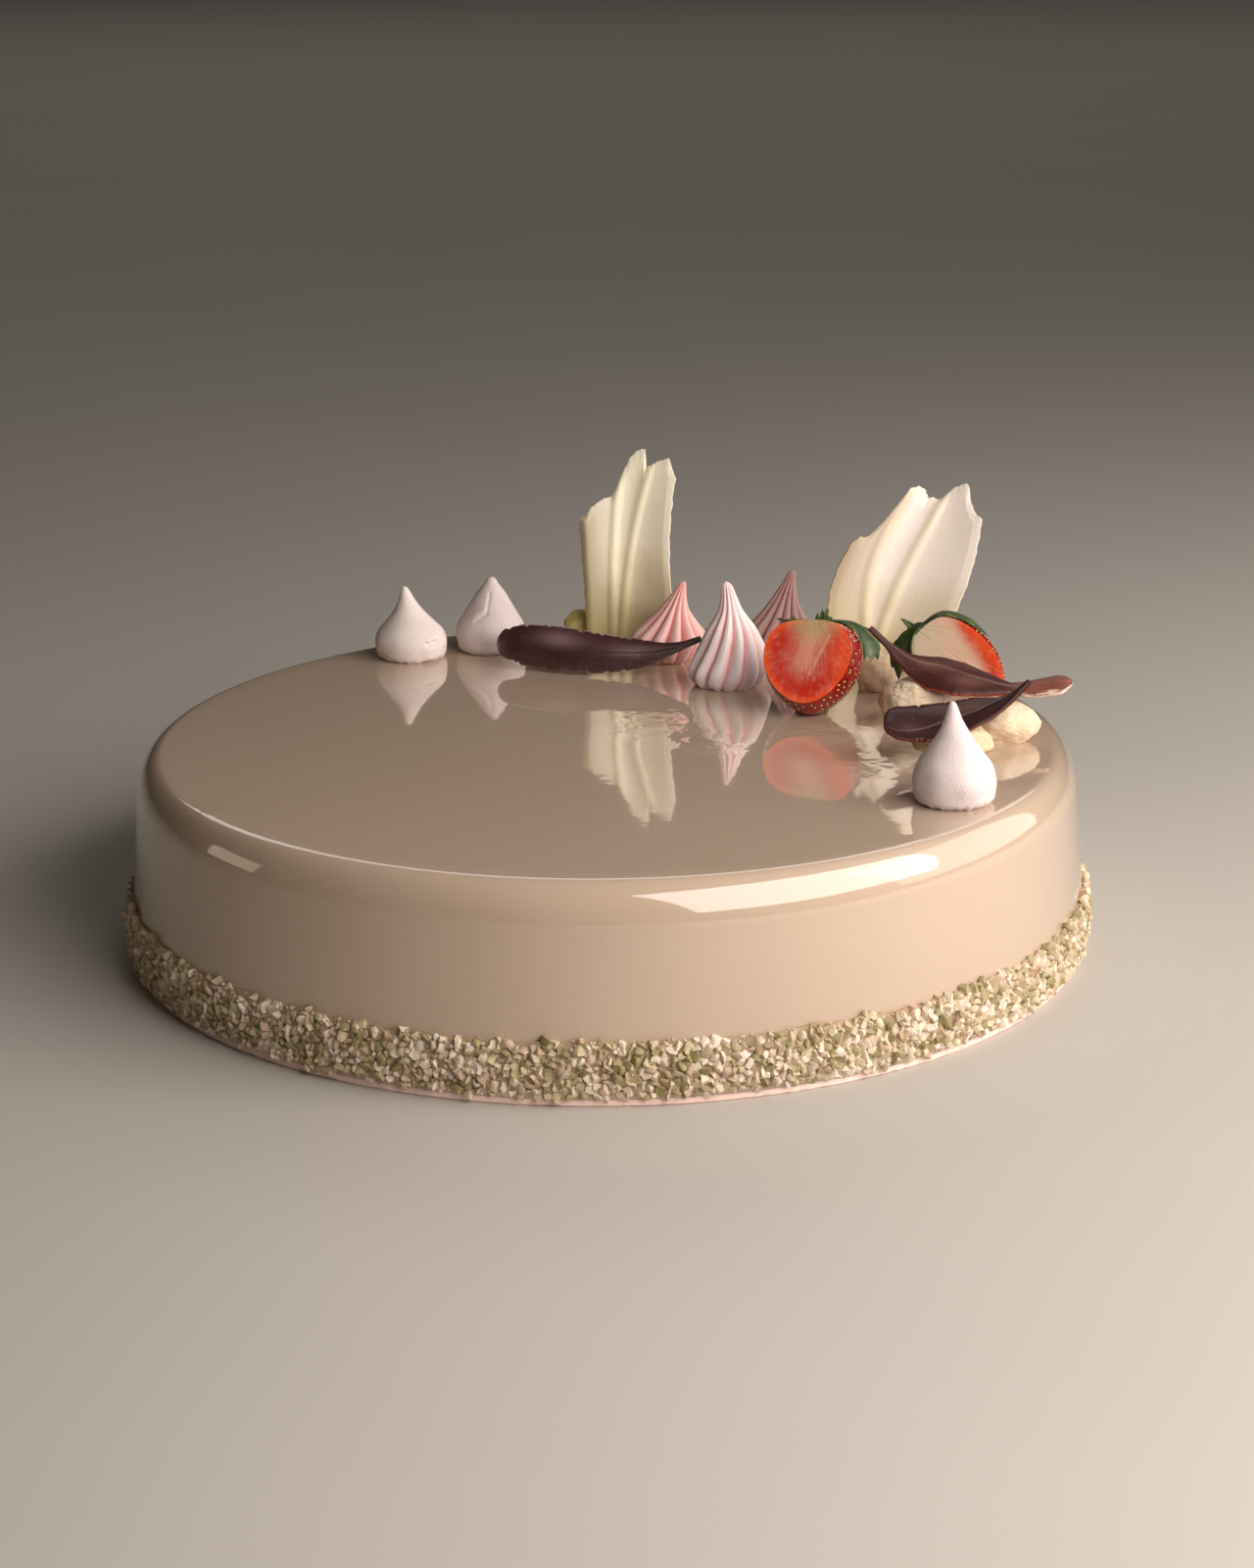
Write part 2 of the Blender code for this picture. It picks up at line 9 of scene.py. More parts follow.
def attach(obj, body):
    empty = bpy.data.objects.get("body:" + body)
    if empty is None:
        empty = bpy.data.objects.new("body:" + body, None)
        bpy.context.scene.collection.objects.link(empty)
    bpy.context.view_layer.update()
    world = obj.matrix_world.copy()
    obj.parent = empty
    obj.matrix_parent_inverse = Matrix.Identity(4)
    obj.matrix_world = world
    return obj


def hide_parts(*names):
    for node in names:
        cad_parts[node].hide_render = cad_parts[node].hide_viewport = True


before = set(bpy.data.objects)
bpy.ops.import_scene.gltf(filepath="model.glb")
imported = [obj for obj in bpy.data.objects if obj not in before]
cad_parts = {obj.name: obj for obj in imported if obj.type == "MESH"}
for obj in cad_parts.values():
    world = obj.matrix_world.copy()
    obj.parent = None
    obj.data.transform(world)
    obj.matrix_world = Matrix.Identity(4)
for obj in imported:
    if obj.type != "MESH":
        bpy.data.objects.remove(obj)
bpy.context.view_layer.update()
scene = bpy.context.scene

# The view. The photograph looks down on the torte by 18 degrees from 90 cm away. The lens is the one
# that gives the torte the photograph's width in a frame 1600 pixels high, and the small turns put the
# torte's middle where the photograph has it.
MM = 0.001
FRAME_HEIGHT_PIXELS = 1600
FOCAL_LENGTH_PIXELS = 3364.2
SENSOR = 36.0
CAMERA_DISTANCE = 0.9
CAMERA_RISE = math.radians(18.0)
CAMERA_TIP = math.radians(0.962)
CAMERA_SWING = math.radians(-0.346)
CAMERA_ROLL = math.radians(-0.6)
AIM_HEIGHT = 25 * MM


def linked(name, data):
    """An object of this mesh, lamp or camera, in the scene."""
    made = bpy.data.objects.new(name, data)
    scene.collection.objects.link(made)
    return made


camera_data = bpy.data.cameras.new("camera")
camera_data.sensor_width = SENSOR
camera_data.lens = SENSOR * FOCAL_LENGTH_PIXELS / FRAME_HEIGHT_PIXELS
camera = linked("camera", camera_data)
camera_spot = Vector((0.0, -CAMERA_DISTANCE * math.cos(CAMERA_RISE),
                      AIM_HEIGHT + CAMERA_DISTANCE * math.sin(CAMERA_RISE)))
camera.matrix_world = (Matrix.Translation(camera_spot)
                       @ Matrix.Rotation(math.pi / 2 - CAMERA_RISE + CAMERA_TIP, 4, "X")
                       @ Matrix.Rotation(CAMERA_SWING, 4, "Y")
                       @ Matrix.Rotation(CAMERA_ROLL, 4, "Z"))
scene.camera = camera
scene.view_settings.view_transform = "Standard"

# The studio. A plain pale floor under four softboxes: the near key at the front right, as in the
# photograph, weaker ones at the right and the left, and a wide one far behind that mainly lights the
# floor there. A dim even room fills in all round.
FLOOR_SIZE = 24.0
FLOOR_PALE = (196, 189, 179)
FLOOR_SHADE = (188, 181, 171)
ROOM_TONE = (0.026, 0.022, 0.018, 1.0)
# name, direction from the torte, distance, width, height, watts, colour
SOFTBOXES = (
    ("key_light", (0.623, -0.561, 0.545), 0.68, 0.80, 0.55, 6.7, (1.0, 0.945, 0.91)),
    ("right_light", (0.92, 0.02, 0.38), 0.85, 0.80, 0.6, 2.6, (1.0, 0.945, 0.91)),
    ("window_light", (-0.98, 0.09, 0.14), 1.8, 0.50, 0.40, 0.8, (1.0, 0.82, 0.62)),
    ("back_light", (0.0, 0.82, 0.57), 4.2, 3.6, 1.2, 16.0, (1.0, 0.97, 0.94)),
)


def tone(red, green, blue):
    """A screen colour, 0 to 255, as the linear colour of a shader."""
    shares = (level / 255 for level in (red, green, blue))
    return (*(s / 12.92 if s <= 0.04045 else ((s + 0.055) / 1.055) ** 2.4 for s in shares), 1.0)


def wire(tree, kind, inputs=None, **settings):
    """A new node in a tree. Each input is a value, or an output that is linked to it."""
    node = tree.nodes.new(kind)
    for name, value in settings.items():
        setattr(node, name, value)
    for key, value in (inputs or {}).items():
        if isinstance(value, bpy.types.NodeSocket):
            tree.links.new(value, node.inputs[key])
        else:
            node.inputs[key].default_value = value
    return node


def speckle(tree, vector, scale, detail=2.0, roughness=0.5):
    """A cloudy pattern from 0 to 1, with scale clouds to a metre."""
    sockets = {"Vector": vector, "Scale": scale, "Detail": detail, "Roughness": roughness}
    return wire(tree, "ShaderNodeTexNoise", sockets).outputs[0]


def between(tree, share, low, high):
    """A colour between two others."""
    mix = wire(tree, "ShaderNodeMix", {0: share, 6: low, 7: high}, data_type="RGBA")
    return mix.outputs[2]


def new_finish(name, **sockets):
    """A material whose Principled shader has these even values; gives it, its tree and its shader."""
    made = bpy.data.materials.new(name)
    made.use_nodes = True
    shader = made.node_tree.nodes["Principled BSDF"]
    for label, value in sockets.items():
        shader.inputs[label.replace("_", " ")].default_value = value
    return made, made.node_tree, shader


def spots(tree):
    """The place of each point of a piece, in metres."""
    return wire(tree, "ShaderNodeTexCoord").outputs["Object"]


def paint(tree, shader, colour):
    """Gives a finish the colour that a pattern of its tree makes."""
    tree.links.new(colour, shader.inputs["Base Color"])


def mesh_from(bm, name, *finishes):
    """A smoothly shaded mesh of what was built, with its finishes."""
    for face in bm.faces:
        face.smooth = True
    mesh = bpy.data.meshes.new(name)
    bm.to_mesh(mesh)
    bm.free()
    for finish in finishes:
        mesh.materials.append(finish)
    return mesh


floor_finish, tree, shader = new_finish("pale_floor", Roughness=0.75)
cloud = speckle(tree, spots(tree), 5.0, 4.0)
paint(tree, shader, between(tree, cloud, tone(*FLOOR_PALE), tone(*FLOOR_SHADE)))
bm = bmesh.new()
bmesh.ops.create_grid(bm, x_segments=1, y_segments=1, size=FLOOR_SIZE / 2)
floor = linked("floor", mesh_from(bm, "floor", floor_finish))

for name, direction, distance, width, height, watts, colour in SOFTBOXES:
    lamp = bpy.data.lights.new(name, "AREA")
    lamp.shape = "RECTANGLE"
    lamp.size = width
    lamp.size_y = height
    lamp.energy = watts
    lamp.color = colour
    softbox = linked(name, lamp)
    towards = Vector(direction).normalized()
    softbox.matrix_world = (Matrix.Translation(Vector((0.0, 0.0, AIM_HEIGHT)) + towards * distance)
                            @ towards.to_track_quat("Z", "Y").to_matrix().to_4x4())
    softbox.visible_camera = False

room = bpy.data.worlds.new("room")
room.use_nodes = True
room.node_tree.nodes["Background"].inputs["Color"].default_value = ROOM_TONE
scene.world = room

# The base. A thin disc of pale biscuit, cut a little smaller than the ring that the torte was set in,
# so it shows as a pinkish line under the nuts. Its profile is turned, and its cut rim is left ragged.
BASE_RADIUS = 129.0 * MM
BASE_HEIGHT = 2.2 * MM
BASE_ROUND = 0.4 * MM
BASE_RIM = 2 * MM
BASE_COLUMNS = 540
RAG_SIZE = 420.0
RAG_DEPTH = 0.35 * MM
BISCUIT_PALE = (255, 228, 216)
BISCUIT_BROWN = (255, 218, 204)


def calc(tree, operation, *terms):
    """A sum or other calculation with plain numbers."""
    return wire(tree, "ShaderNodeMath", dict(enumerate(terms)), operation=operation).outputs[0]


def plus(tree, first, second):
    """The sum of two patterns or numbers."""
    return calc(tree, "ADD", first, second)


def times(tree, first, second):
    """The product of two patterns or numbers."""
    return calc(tree, "MULTIPLY", first, second)


def relief(tree, shader, height, distance):
    """Fine relief of a surface and of the clear coat on it: height 0 to 1 over a distance in metres."""
    bump = wire(tree, "ShaderNodeBump", {"Height": height, "Distance": distance, "Strength": 1.0})
    for socket in ("Normal", "Coat Normal"):
        tree.links.new(bump.outputs["Normal"], shader.inputs[socket])


def new_tree(name, *numbers):
    """A Geometry Nodes tree with named inputs; gives it, its inputs' outputs and its result's inputs."""
    made = bpy.data.node_groups.new(name, "GeometryNodeTree")
    made.interface.new_socket("Geometry", in_out="INPUT", socket_type="NodeSocketGeometry")
    for label, kind in numbers:
        made.interface.new_socket(label, in_out="INPUT", socket_type="NodeSocket" + kind)
    made.interface.new_socket("Finish", in_out="INPUT", socket_type="NodeSocketMaterial")
    made.interface.new_socket("Geometry", in_out="OUTPUT", socket_type="NodeSocketGeometry")
    return made, made.nodes.new("NodeGroupInput").outputs, made.nodes.new("NodeGroupOutput").inputs


def close_tree(tree, geometry, asked, result):
    """Ends a tree: what it made becomes one plain mesh with the finish that it was given."""
    plain = wire(tree, "GeometryNodeRealizeInstances", {"Geometry": geometry}).outputs[0]
    dressed = wire(tree, "GeometryNodeSetMaterial", {"Geometry": plain, "Material": asked["Finish"]})
    tree.links.new(dressed.outputs[0], result["Geometry"])


def baked(obj):
    """The object's mesh with its modifiers applied; the object itself is removed."""
    bpy.context.view_layer.update()
    depsgraph = bpy.context.evaluated_depsgraph_get()
    mesh = bpy.data.meshes.new_from_object(obj.evaluated_get(depsgraph))
    bpy.data.objects.remove(obj, do_unlink=True)
    return mesh


def grown(name, start, tree, values):
    """The mesh that a tree makes from a start mesh and its inputs' values."""
    obj = linked(name, start)
    modifier = obj.modifiers.new(name, "NODES")
    modifier.node_group = tree
    for item in tree.interface.items_tree:
        if item.in_out == "INPUT" and item.name in values:
            modifier[item.identifier] = values[item.name]
    return baked(obj)


def profile_mesh(name, points):
    """The points (radius, height) of a turned shape, from the middle of its top outwards."""
    mesh = bpy.data.meshes.new(name)
    edges = [(index, index + 1) for index in range(len(points) - 1)]
    mesh.from_pydata([(radius, 0.0, height) for radius, height in points], edges, [])
    return mesh


def vector_calc(tree, operation, *terms):
    """A calculation with vectors. A length, a distance and a dot product give a number."""
    node = wire(tree, "ShaderNodeVectorMath", dict(enumerate(terms)), operation=operation)
    return node.outputs["Value" if operation in ("LENGTH", "DISTANCE", "DOT_PRODUCT") else "Vector"]


def parts_of(tree, vector):
    """The X, Y and Z of a vector."""
    return wire(tree, "ShaderNodeSeparateXYZ", {0: vector}).outputs


def joined_up(tree, **parts):
    """A vector from its X, Y and Z."""
    return wire(tree, "ShaderNodeCombineXYZ", parts).outputs[0]


def moved(tree, geometry, **moves):
    """A shape whose points take a new Position, or an Offset from where they are."""
    return wire(tree, "GeometryNodeSetPosition", {"Geometry": geometry, **moves}).outputs[0]


def turned(tree, profile, columns):
    """Nodes that turn a profile into a closed body: a grid, each row of which takes one point of it."""
    rows = wire(tree, "GeometryNodeAttributeDomainSize", {"Geometry": profile}).outputs["Point Count"]
    sheet = wire(tree, "GeometryNodeMeshGrid", {"Size X": 1.0, "Size Y": 1.0, "Vertices X": columns,
                                                "Vertices Y": rows})
    place = wire(tree, "GeometryNodeInputPosition").outputs[0]
    grid = parts_of(tree, place)
    angle = times(tree, plus(tree, grid["X"], 0.5), -2 * math.pi)
    row = times(tree, plus(tree, grid["Y"], 0.5), calc(tree, "SUBTRACT", rows, 1.0))
    taken = wire(tree, "GeometryNodeSampleIndex", {"Geometry": profile, "Value": place,
                                                   "Index": calc(tree, "ROUND", row)},
                 data_type="FLOAT_VECTOR").outputs[0]
    point = parts_of(tree, taken)
    spot = joined_up(tree, X=times(tree, point["X"], calc(tree, "COSINE", angle)),
                     Y=times(tree, point["X"], calc(tree, "SINE", angle)), Z=point["Z"])
    wrapped = moved(tree, sheet.outputs["Mesh"], Position=spot)
    return wire(tree, "GeometryNodeMergeByDistance", {"Geometry": wrapped, "Distance": 0.01 * MM}).outputs[0]


def moved_out(tree, geometry, amount):
    """Moves each point of a surface out along its normal."""
    normal = wire(tree, "GeometryNodeInputNormal").outputs[0]
    return moved(tree, geometry, Offset=vector_calc(tree, "MULTIPLY", normal, amount))


def swing(tree, pattern, depth):
    """A pattern from 0 to 1 as a number that swings to either side of nothing by the depth."""
    centred = calc(tree, "SUBTRACT", pattern, 0.5)
    return times(tree, centred, times(tree, depth, 2.0))


biscuit_finish, tree, shader = new_finish("biscuit", Roughness=0.8)
crumb = speckle(tree, spots(tree), 900.0, 3.0, 0.6)
paint(tree, shader, between(tree, crumb, tone(*BISCUIT_BROWN), tone(*BISCUIT_PALE)))
relief(tree, shader, crumb, 0.2 * MM)

tree, asked, result = new_tree(
    "ragged_disc", ("Columns", "Int"), ("Rag Size", "Float"), ("Rag Depth", "Float"))
disc = turned(tree, asked["Geometry"], asked["Columns"])
place = wire(tree, "GeometryNodeInputPosition").outputs[0]
rag = swing(tree, speckle(tree, place, asked["Rag Size"]), asked["Rag Depth"])
close_tree(tree, moved_out(tree, disc, rag), asked, result)
base_profile = [(0.0, BASE_HEIGHT), (BASE_RADIUS - BASE_RIM, BASE_HEIGHT),
                (BASE_RADIUS - BASE_ROUND, BASE_HEIGHT), (BASE_RADIUS, BASE_HEIGHT - BASE_ROUND),
                (BASE_RADIUS, BASE_HEIGHT / 2), (BASE_RADIUS, BASE_ROUND),
                (BASE_RADIUS - BASE_ROUND, 0.0), (BASE_RADIUS - BASE_RIM, 0.0), (0.0, 0.0)]
base_mesh = grown("biscuit_base", profile_mesh("base_profile", base_profile), tree,
                  {"Columns": BASE_COLUMNS, "Rag Size": RAG_SIZE, "Rag Depth": RAG_DEPTH,
                   "Finish": biscuit_finish})
for vert in base_mesh.vertices:
    vert.co.z = max(0.0, vert.co.z)
base = linked("biscuit_base", base_mesh)
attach(base, "root")
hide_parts("base_layer")

# The torte. Mousse cake under a coat of milky coffee mirror glaze that was poured over it: a dead flat
# top, a rounded edge, and a side that widens a little to the foot, where the coat ran in faint
# upright waves. One turned profile, waved by Geometry Nodes, is coat and cake in one.
TORTE_HEIGHT = 54.2 * MM
FOOT_RADIUS = 129.6 * MM
SHOULDER_RADIUS = 126.5 * MM
EDGE_IN = 7.2 * MM
EDGE_DOWN = 12.0 * MM
FOOT_HEIGHT = 2.2 * MM
COAT_COLUMNS = 480
TOP_STEPS = 26
EDGE_STEPS = 22
SIDE_STEPS = 26
WAVE_SIZE = 22.0
WAVE_STRETCH = (1.0, 1.0, 0.35)
WAVE_DEPTH = 0.32 * MM
TOP_WAVE_DEPTH = 0.08 * MM
GLAZE_COFFEE = (196, 171, 149)
GLAZE_MILK = (201, 177, 154)
# the spots where the glaze is wrinkled, each with its reach, in millimetres
WRINKLE_SPOTS = (((-103.0, -66.0, 45.0), 15.0), ((62.0, 4.0, 54.2), 15.0), ((76.0, -24.0, 54.2), 24.0),
                 ((14.0, 12.0, 54.2), 20.0), ((96.0, -46.0, 54.2), 14.0), ((28.0, -8.0, 54.2), 12.0))
WRINKLE_SIZE = 190.0
WRINKLE_DEPTH = 0.4 * MM
RIPPLE_SIZE = 150.0
RIPPLE_SHARE = 0.08


def stretched(tree, value, low, high, kind="LINEAR"):
    """A number as its share of the way from low to high, kept between 0 and 1."""
    return wire(tree, "ShaderNodeMapRange", {"Value": value, "From Min": low, "From Max": high},
                interpolation_type=kind).outputs[0]


def coat_profile():
    """From the middle of the top out, round the edge, down the side and back in under the torte."""
    inner = SHOULDER_RADIUS - EDGE_IN
    points = [(inner * step / TOP_STEPS, TORTE_HEIGHT) for step in range(TOP_STEPS)]
    for step in range(EDGE_STEPS + 1):
        angle = math.pi / 2 * (1 - step / EDGE_STEPS)
        points.append((inner + EDGE_IN * math.cos(angle), TORTE_HEIGHT - EDGE_DOWN * (1 - math.sin(angle))))
    low = TORTE_HEIGHT - EDGE_DOWN
    for step in range(1, SIDE_STEPS + 1):
        share = step / SIDE_STEPS
        points.append((SHOULDER_RADIUS + (FOOT_RADIUS - SHOULDER_RADIUS) * share,
                       low + (FOOT_HEIGHT - low) * share))
    return points + [(FOOT_RADIUS * 0.9, FOOT_HEIGHT), (0.0, FOOT_HEIGHT)]


glaze_finish, tree, shader = new_finish(
    "mirror_glaze", Roughness=0.07, IOR=1.5, Coat_Weight=1.0, Coat_Roughness=0.02, Coat_IOR=1.5,
    Subsurface_Weight=0.12, Subsurface_Radius=(1.0, 0.6, 0.35), Subsurface_Scale=3 * MM)
place = spots(tree)
cloud = speckle(tree, place, 14.0, 3.0)
paint(tree, shader, between(tree, cloud, tone(*GLAZE_COFFEE), tone(*GLAZE_MILK)))
wrinkles = speckle(tree, place, WRINKLE_SIZE, 1.5)
near = None
for spot, reach in WRINKLE_SPOTS:
    away = vector_calc(tree, "DISTANCE", place, Vector(spot) * MM)
    close = stretched(tree, away, reach * MM, 0.2 * reach * MM, "SMOOTHSTEP")
    near = close if near is None else calc(tree, "MAXIMUM", near, close)
ripple = times(tree, speckle(tree, place, RIPPLE_SIZE, 2.0), RIPPLE_SHARE)
relief(tree, shader, plus(tree, times(tree, wrinkles, near), ripple), WRINKLE_DEPTH)

tree, asked, result = new_tree(
    "glaze_coat", ("Columns", "Int"), ("Wave Size", "Float"), ("Wave Depth", "Float"),
    ("Top Wave Depth", "Float"))
coat = turned(tree, asked["Geometry"], asked["Columns"])
place = wire(tree, "GeometryNodeInputPosition").outputs[0]
upright = vector_calc(tree, "MULTIPLY", place, WAVE_STRETCH)
waves = speckle(tree, upright, asked["Wave Size"], 1.0)
facing = parts_of(tree, wire(tree, "GeometryNodeInputNormal").outputs[0])["Z"]
depths = {0: times(tree, facing, facing), 2: asked["Wave Depth"], 3: asked["Top Wave Depth"]}
depth = wire(tree, "ShaderNodeMix", depths).outputs[0]
waved = moved_out(tree, coat, swing(tree, waves, depth))
smooth = wire(tree, "GeometryNodeSetShadeSmooth", {"Geometry": waved}).outputs[0]
close_tree(tree, smooth, asked, result)
coat_mesh = grown("glazed_torte", profile_mesh("coat_profile", coat_profile()), tree,
                  {"Columns": COAT_COLUMNS, "Wave Size": WAVE_SIZE, "Wave Depth": WAVE_DEPTH,
                   "Top Wave Depth": TOP_WAVE_DEPTH, "Finish": glaze_finish})
torte = linked("glazed_torte", coat_mesh)
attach(torte, "root")
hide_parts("torte")

# The nut border. Chopped pale nuts pressed into the foot of the wet glaze by hand: a lumpy band of fine
# crumbs that holds thousands of coarser chips. Chips are bent cubes, scattered, turned and sized
# at random on the band by Geometry Nodes, and no two keep the same shape.
BAND_LOW = 2.5 * MM
BAND_HIGH = 16.5 * MM
BAND_RADIUS = 130.0 * MM
BAND_DEPTH = 4.0 * MM
BAND_BULGE = 0.6 * MM
BAND_CORNER = 1 * MM
BAND_STEPS = 14
BAND_COLUMNS = 760
BAND_LUMP_SIZE = 300.0
BAND_LUMP_DEPTH = 0.5 * MM
BAND_TOP_SWING = 3.0 * MM
CHIP_SIZE = 2.9 * MM
CHIP_GAP = 1.65 * MM
CRUMB_SIZE = 1.3 * MM
CRUMB_GAP = 1.08 * MM
CHIP_SEED = 11
CRUMB_SEED = 23
CHIP_LEAST = (0.5, 0.45, 0.4)
CHIP_MOST = (1.25, 1.1, 0.95)
CHIP_TURN = (6.28, 6.28, 6.28)
CHIP_ROUNDNESS = 0.6
CHIP_FULLNESS = 0.62
MOST_CHIPS_A_SQUARE_METRE = 2.0e6
BEND_SIZE = 520.0
BAND_TINT = 0.9
FLECK_DARK = (0.72, 0.68, 0.60, 1.0)
FLECK_LIGHT = (1.12, 1.12, 1.12, 1.0)
# the colours of nuts from the greenest on, each with its place from 0 to 1
NUT_TONES = ((0.0, (150, 138, 92)), (0.16, (187, 171, 130)), (0.34, (216, 198, 166)), (0.55, (233, 215, 190)),
             (0.75, (247, 230, 214)), (0.88, (182, 155, 120)), (1.0, (228, 201, 184)))


def band_profile():
    """A closed ring section: over its top, down its bulging outer side, and back in below and behind."""
    inner = BAND_RADIUS - BAND_DEPTH
    points = [(inner, BAND_LOW + BAND_CORNER), (inner, BAND_HIGH - BAND_CORNER)]
    for step in range(BAND_STEPS + 1):
        share = step / BAND_STEPS
        points.append((BAND_RADIUS + BAND_BULGE * (math.sin(math.pi * share) - 1),
                       BAND_HIGH + (BAND_LOW - BAND_HIGH) * share))
    return points + [points[0]]


def ramp(tree, share, *stops):
    """Colours laid out from 0 to 1, read at a share."""
    node = wire(tree, "ShaderNodeValToRGB", {"Fac": share})
    elements = node.color_ramp.elements
    elements[0].position, elements[0].color = stops[0]
    elements[-1].position, elements[-1].color = stops[-1]
    for place, colour in stops[1:-1]:
        elements.new(place).color = colour
    return node.outputs["Color"]


def trait(tree, label):
    """A number that a piece's mesh gives each of its points under this label."""
    return wire(tree, "ShaderNodeAttribute", attribute_name=label).outputs["Fac"]


def random_vector(tree, low, high, seed):
    """A vector drawn at random for each instance."""
    return wire(tree, "FunctionNodeRandomValue", {0: low, 1: high, "Seed": seed},
                data_type="FLOAT_VECTOR").outputs[0]


def labelled(tree, geometry, label, value, domain):
    """Gives each point or instance of a shape a number under a label."""
    sockets = {"Geometry": geometry, "Name": label, "Value": value}
    return wire(tree, "GeometryNodeStoreNamedAttribute", sockets, data_type="FLOAT", domain=domain).outputs[0]


nut_finish, tree, shader = new_finish(
    "chopped_nuts", Roughness=0.62, Subsurface_Weight=0.15, Subsurface_Radius=(1.0, 0.7, 0.4),
    Subsurface_Scale=1 * MM)
place = spots(tree)
nut_colour = ramp(tree, trait(tree, "tint"), *((at, tone(*colour)) for at, colour in NUT_TONES))
fleck = speckle(tree, place, 1300.0, 3.0, 0.7)
flecks = between(tree, fleck, FLECK_DARK, FLECK_LIGHT)
flecked = wire(tree, "ShaderNodeMix", {0: 1.0, 6: nut_colour, 7: flecks}, data_type="RGBA",
               blend_type="MULTIPLY").outputs[2]
paint(tree, shader, flecked)
relief(tree, shader, fleck, 0.25 * MM)

tree, asked, result = new_tree(
    "nut_border", ("Columns", "Int"), ("Lump Size", "Float"), ("Lump Depth", "Float"), ("Top Swing", "Float"),
    ("Chip Size", "Float"), ("Chip Gap", "Float"), ("Block Points", "Int"), ("Seed", "Int"),
    ("Keep Band", "Bool"))
band = turned(tree, asked["Geometry"], asked["Columns"])
place = wire(tree, "GeometryNodeInputPosition").outputs[0]
rise = stretched(tree, parts_of(tree, place)["Z"], BAND_LOW, BAND_HIGH)
flat = vector_calc(tree, "MULTIPLY", place, (1.0, 1.0, 0.0))
edge = swing(tree, speckle(tree, flat, 90.0, 3.0, 0.7), times(tree, rise, asked["Top Swing"]))
uneven = moved(tree, band, Offset=joined_up(tree, Z=edge))
lumps = swing(tree, speckle(tree, place, asked["Lump Size"]), asked["Lump Depth"])
lumpy = moved_out(tree, uneven, lumps)
normal = wire(tree, "GeometryNodeInputNormal").outputs[0]
outwards = vector_calc(tree, "DOT_PRODUCT", normal, place)
outer = wire(tree, "FunctionNodeCompare", {0: outwards, 1: 0.0}, data_type="FLOAT",
             operation="GREATER_THAN").outputs[0]
scatter = wire(tree, "GeometryNodeDistributePointsOnFaces",
               {"Mesh": lumpy, "Selection": outer, "Distance Min": asked["Chip Gap"],
                "Density Max": MOST_CHIPS_A_SQUARE_METRE, "Seed": asked["Seed"]}, distribute_method="POISSON")
block = wire(tree, "GeometryNodeMeshCube", {"Size": (1.0, 1.0, 1.0), "Vertices X": asked["Block Points"],
                                            "Vertices Y": asked["Block Points"], "Vertices Z": 3})
corner = wire(tree, "GeometryNodeInputPosition").outputs[0]
length = calc(tree, "MAXIMUM", vector_calc(tree, "LENGTH", corner), 0.01)
softer = calc(tree, "DIVIDE", CHIP_FULLNESS, calc(tree, "POWER", length, CHIP_ROUNDNESS))
chip = moved(tree, block.outputs["Mesh"], Position=vector_calc(tree, "MULTIPLY", corner, softer))
turn = random_vector(tree, (0.0, 0.0, 0.0), CHIP_TURN, asked["Seed"])
stretch = random_vector(tree, CHIP_LEAST, CHIP_MOST, asked["Seed"])
size = vector_calc(tree, "MULTIPLY", stretch, asked["Chip Size"])
chips = wire(tree, "GeometryNodeInstanceOnPoints", {"Points": scatter.outputs["Points"], "Instance": chip,
                                                    "Rotation": turn, "Scale": size}).outputs[0]
tint = wire(tree, "FunctionNodeRandomValue", {2: 0.0, 3: 1.0, "Seed": asked["Seed"]},
            data_type="FLOAT").outputs[1]
tinted = labelled(tree, chips, "tint", tint, "INSTANCE")
loose = wire(tree, "GeometryNodeRealizeInstances", {"Geometry": tinted}).outputs[0]
bend = wire(tree, "ShaderNodeTexNoise", {"Vector": place, "Scale": BEND_SIZE, "Detail": 1.0}).outputs["Color"]
bend = vector_calc(tree, "SUBTRACT", bend, (0.5, 0.5, 0.5))
broken = moved(tree, loose, Offset=vector_calc(tree, "MULTIPLY", bend, asked["Chip Size"]))
core = labelled(tree, lumpy, "tint", BAND_TINT, "POINT")
kept = wire(tree, "GeometryNodeSwitch", {"Switch": asked["Keep Band"], "True": core},
            input_type="GEOMETRY").outputs[0]
joined = wire(tree, "GeometryNodeJoinGeometry")
for part in (broken, kept):
    tree.links.new(part, joined.inputs[0])
close_tree(tree, joined.outputs[0], asked, result)
for name, size, gap, points, seed, keep in (("nut_border", CHIP_SIZE, CHIP_GAP, 3, CHIP_SEED, True),
                                            ("nut_crumbs", CRUMB_SIZE, CRUMB_GAP, 2, CRUMB_SEED, False)):
    mesh = grown(name, profile_mesh("band_profile", band_profile()), tree,
                 {"Columns": BAND_COLUMNS, "Lump Size": BAND_LUMP_SIZE, "Lump Depth": BAND_LUMP_DEPTH,
                  "Top Swing": BAND_TOP_SWING, "Chip Size": size, "Chip Gap": gap, "Block Points": points,
                  "Seed": seed, "Keep Band": keep, "Finish": nut_finish})
    mesh.set_sharp_from_angle(angle=math.radians(50))
    nuts = linked(name, mesh)
    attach(nuts, "root")
    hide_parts("torte")

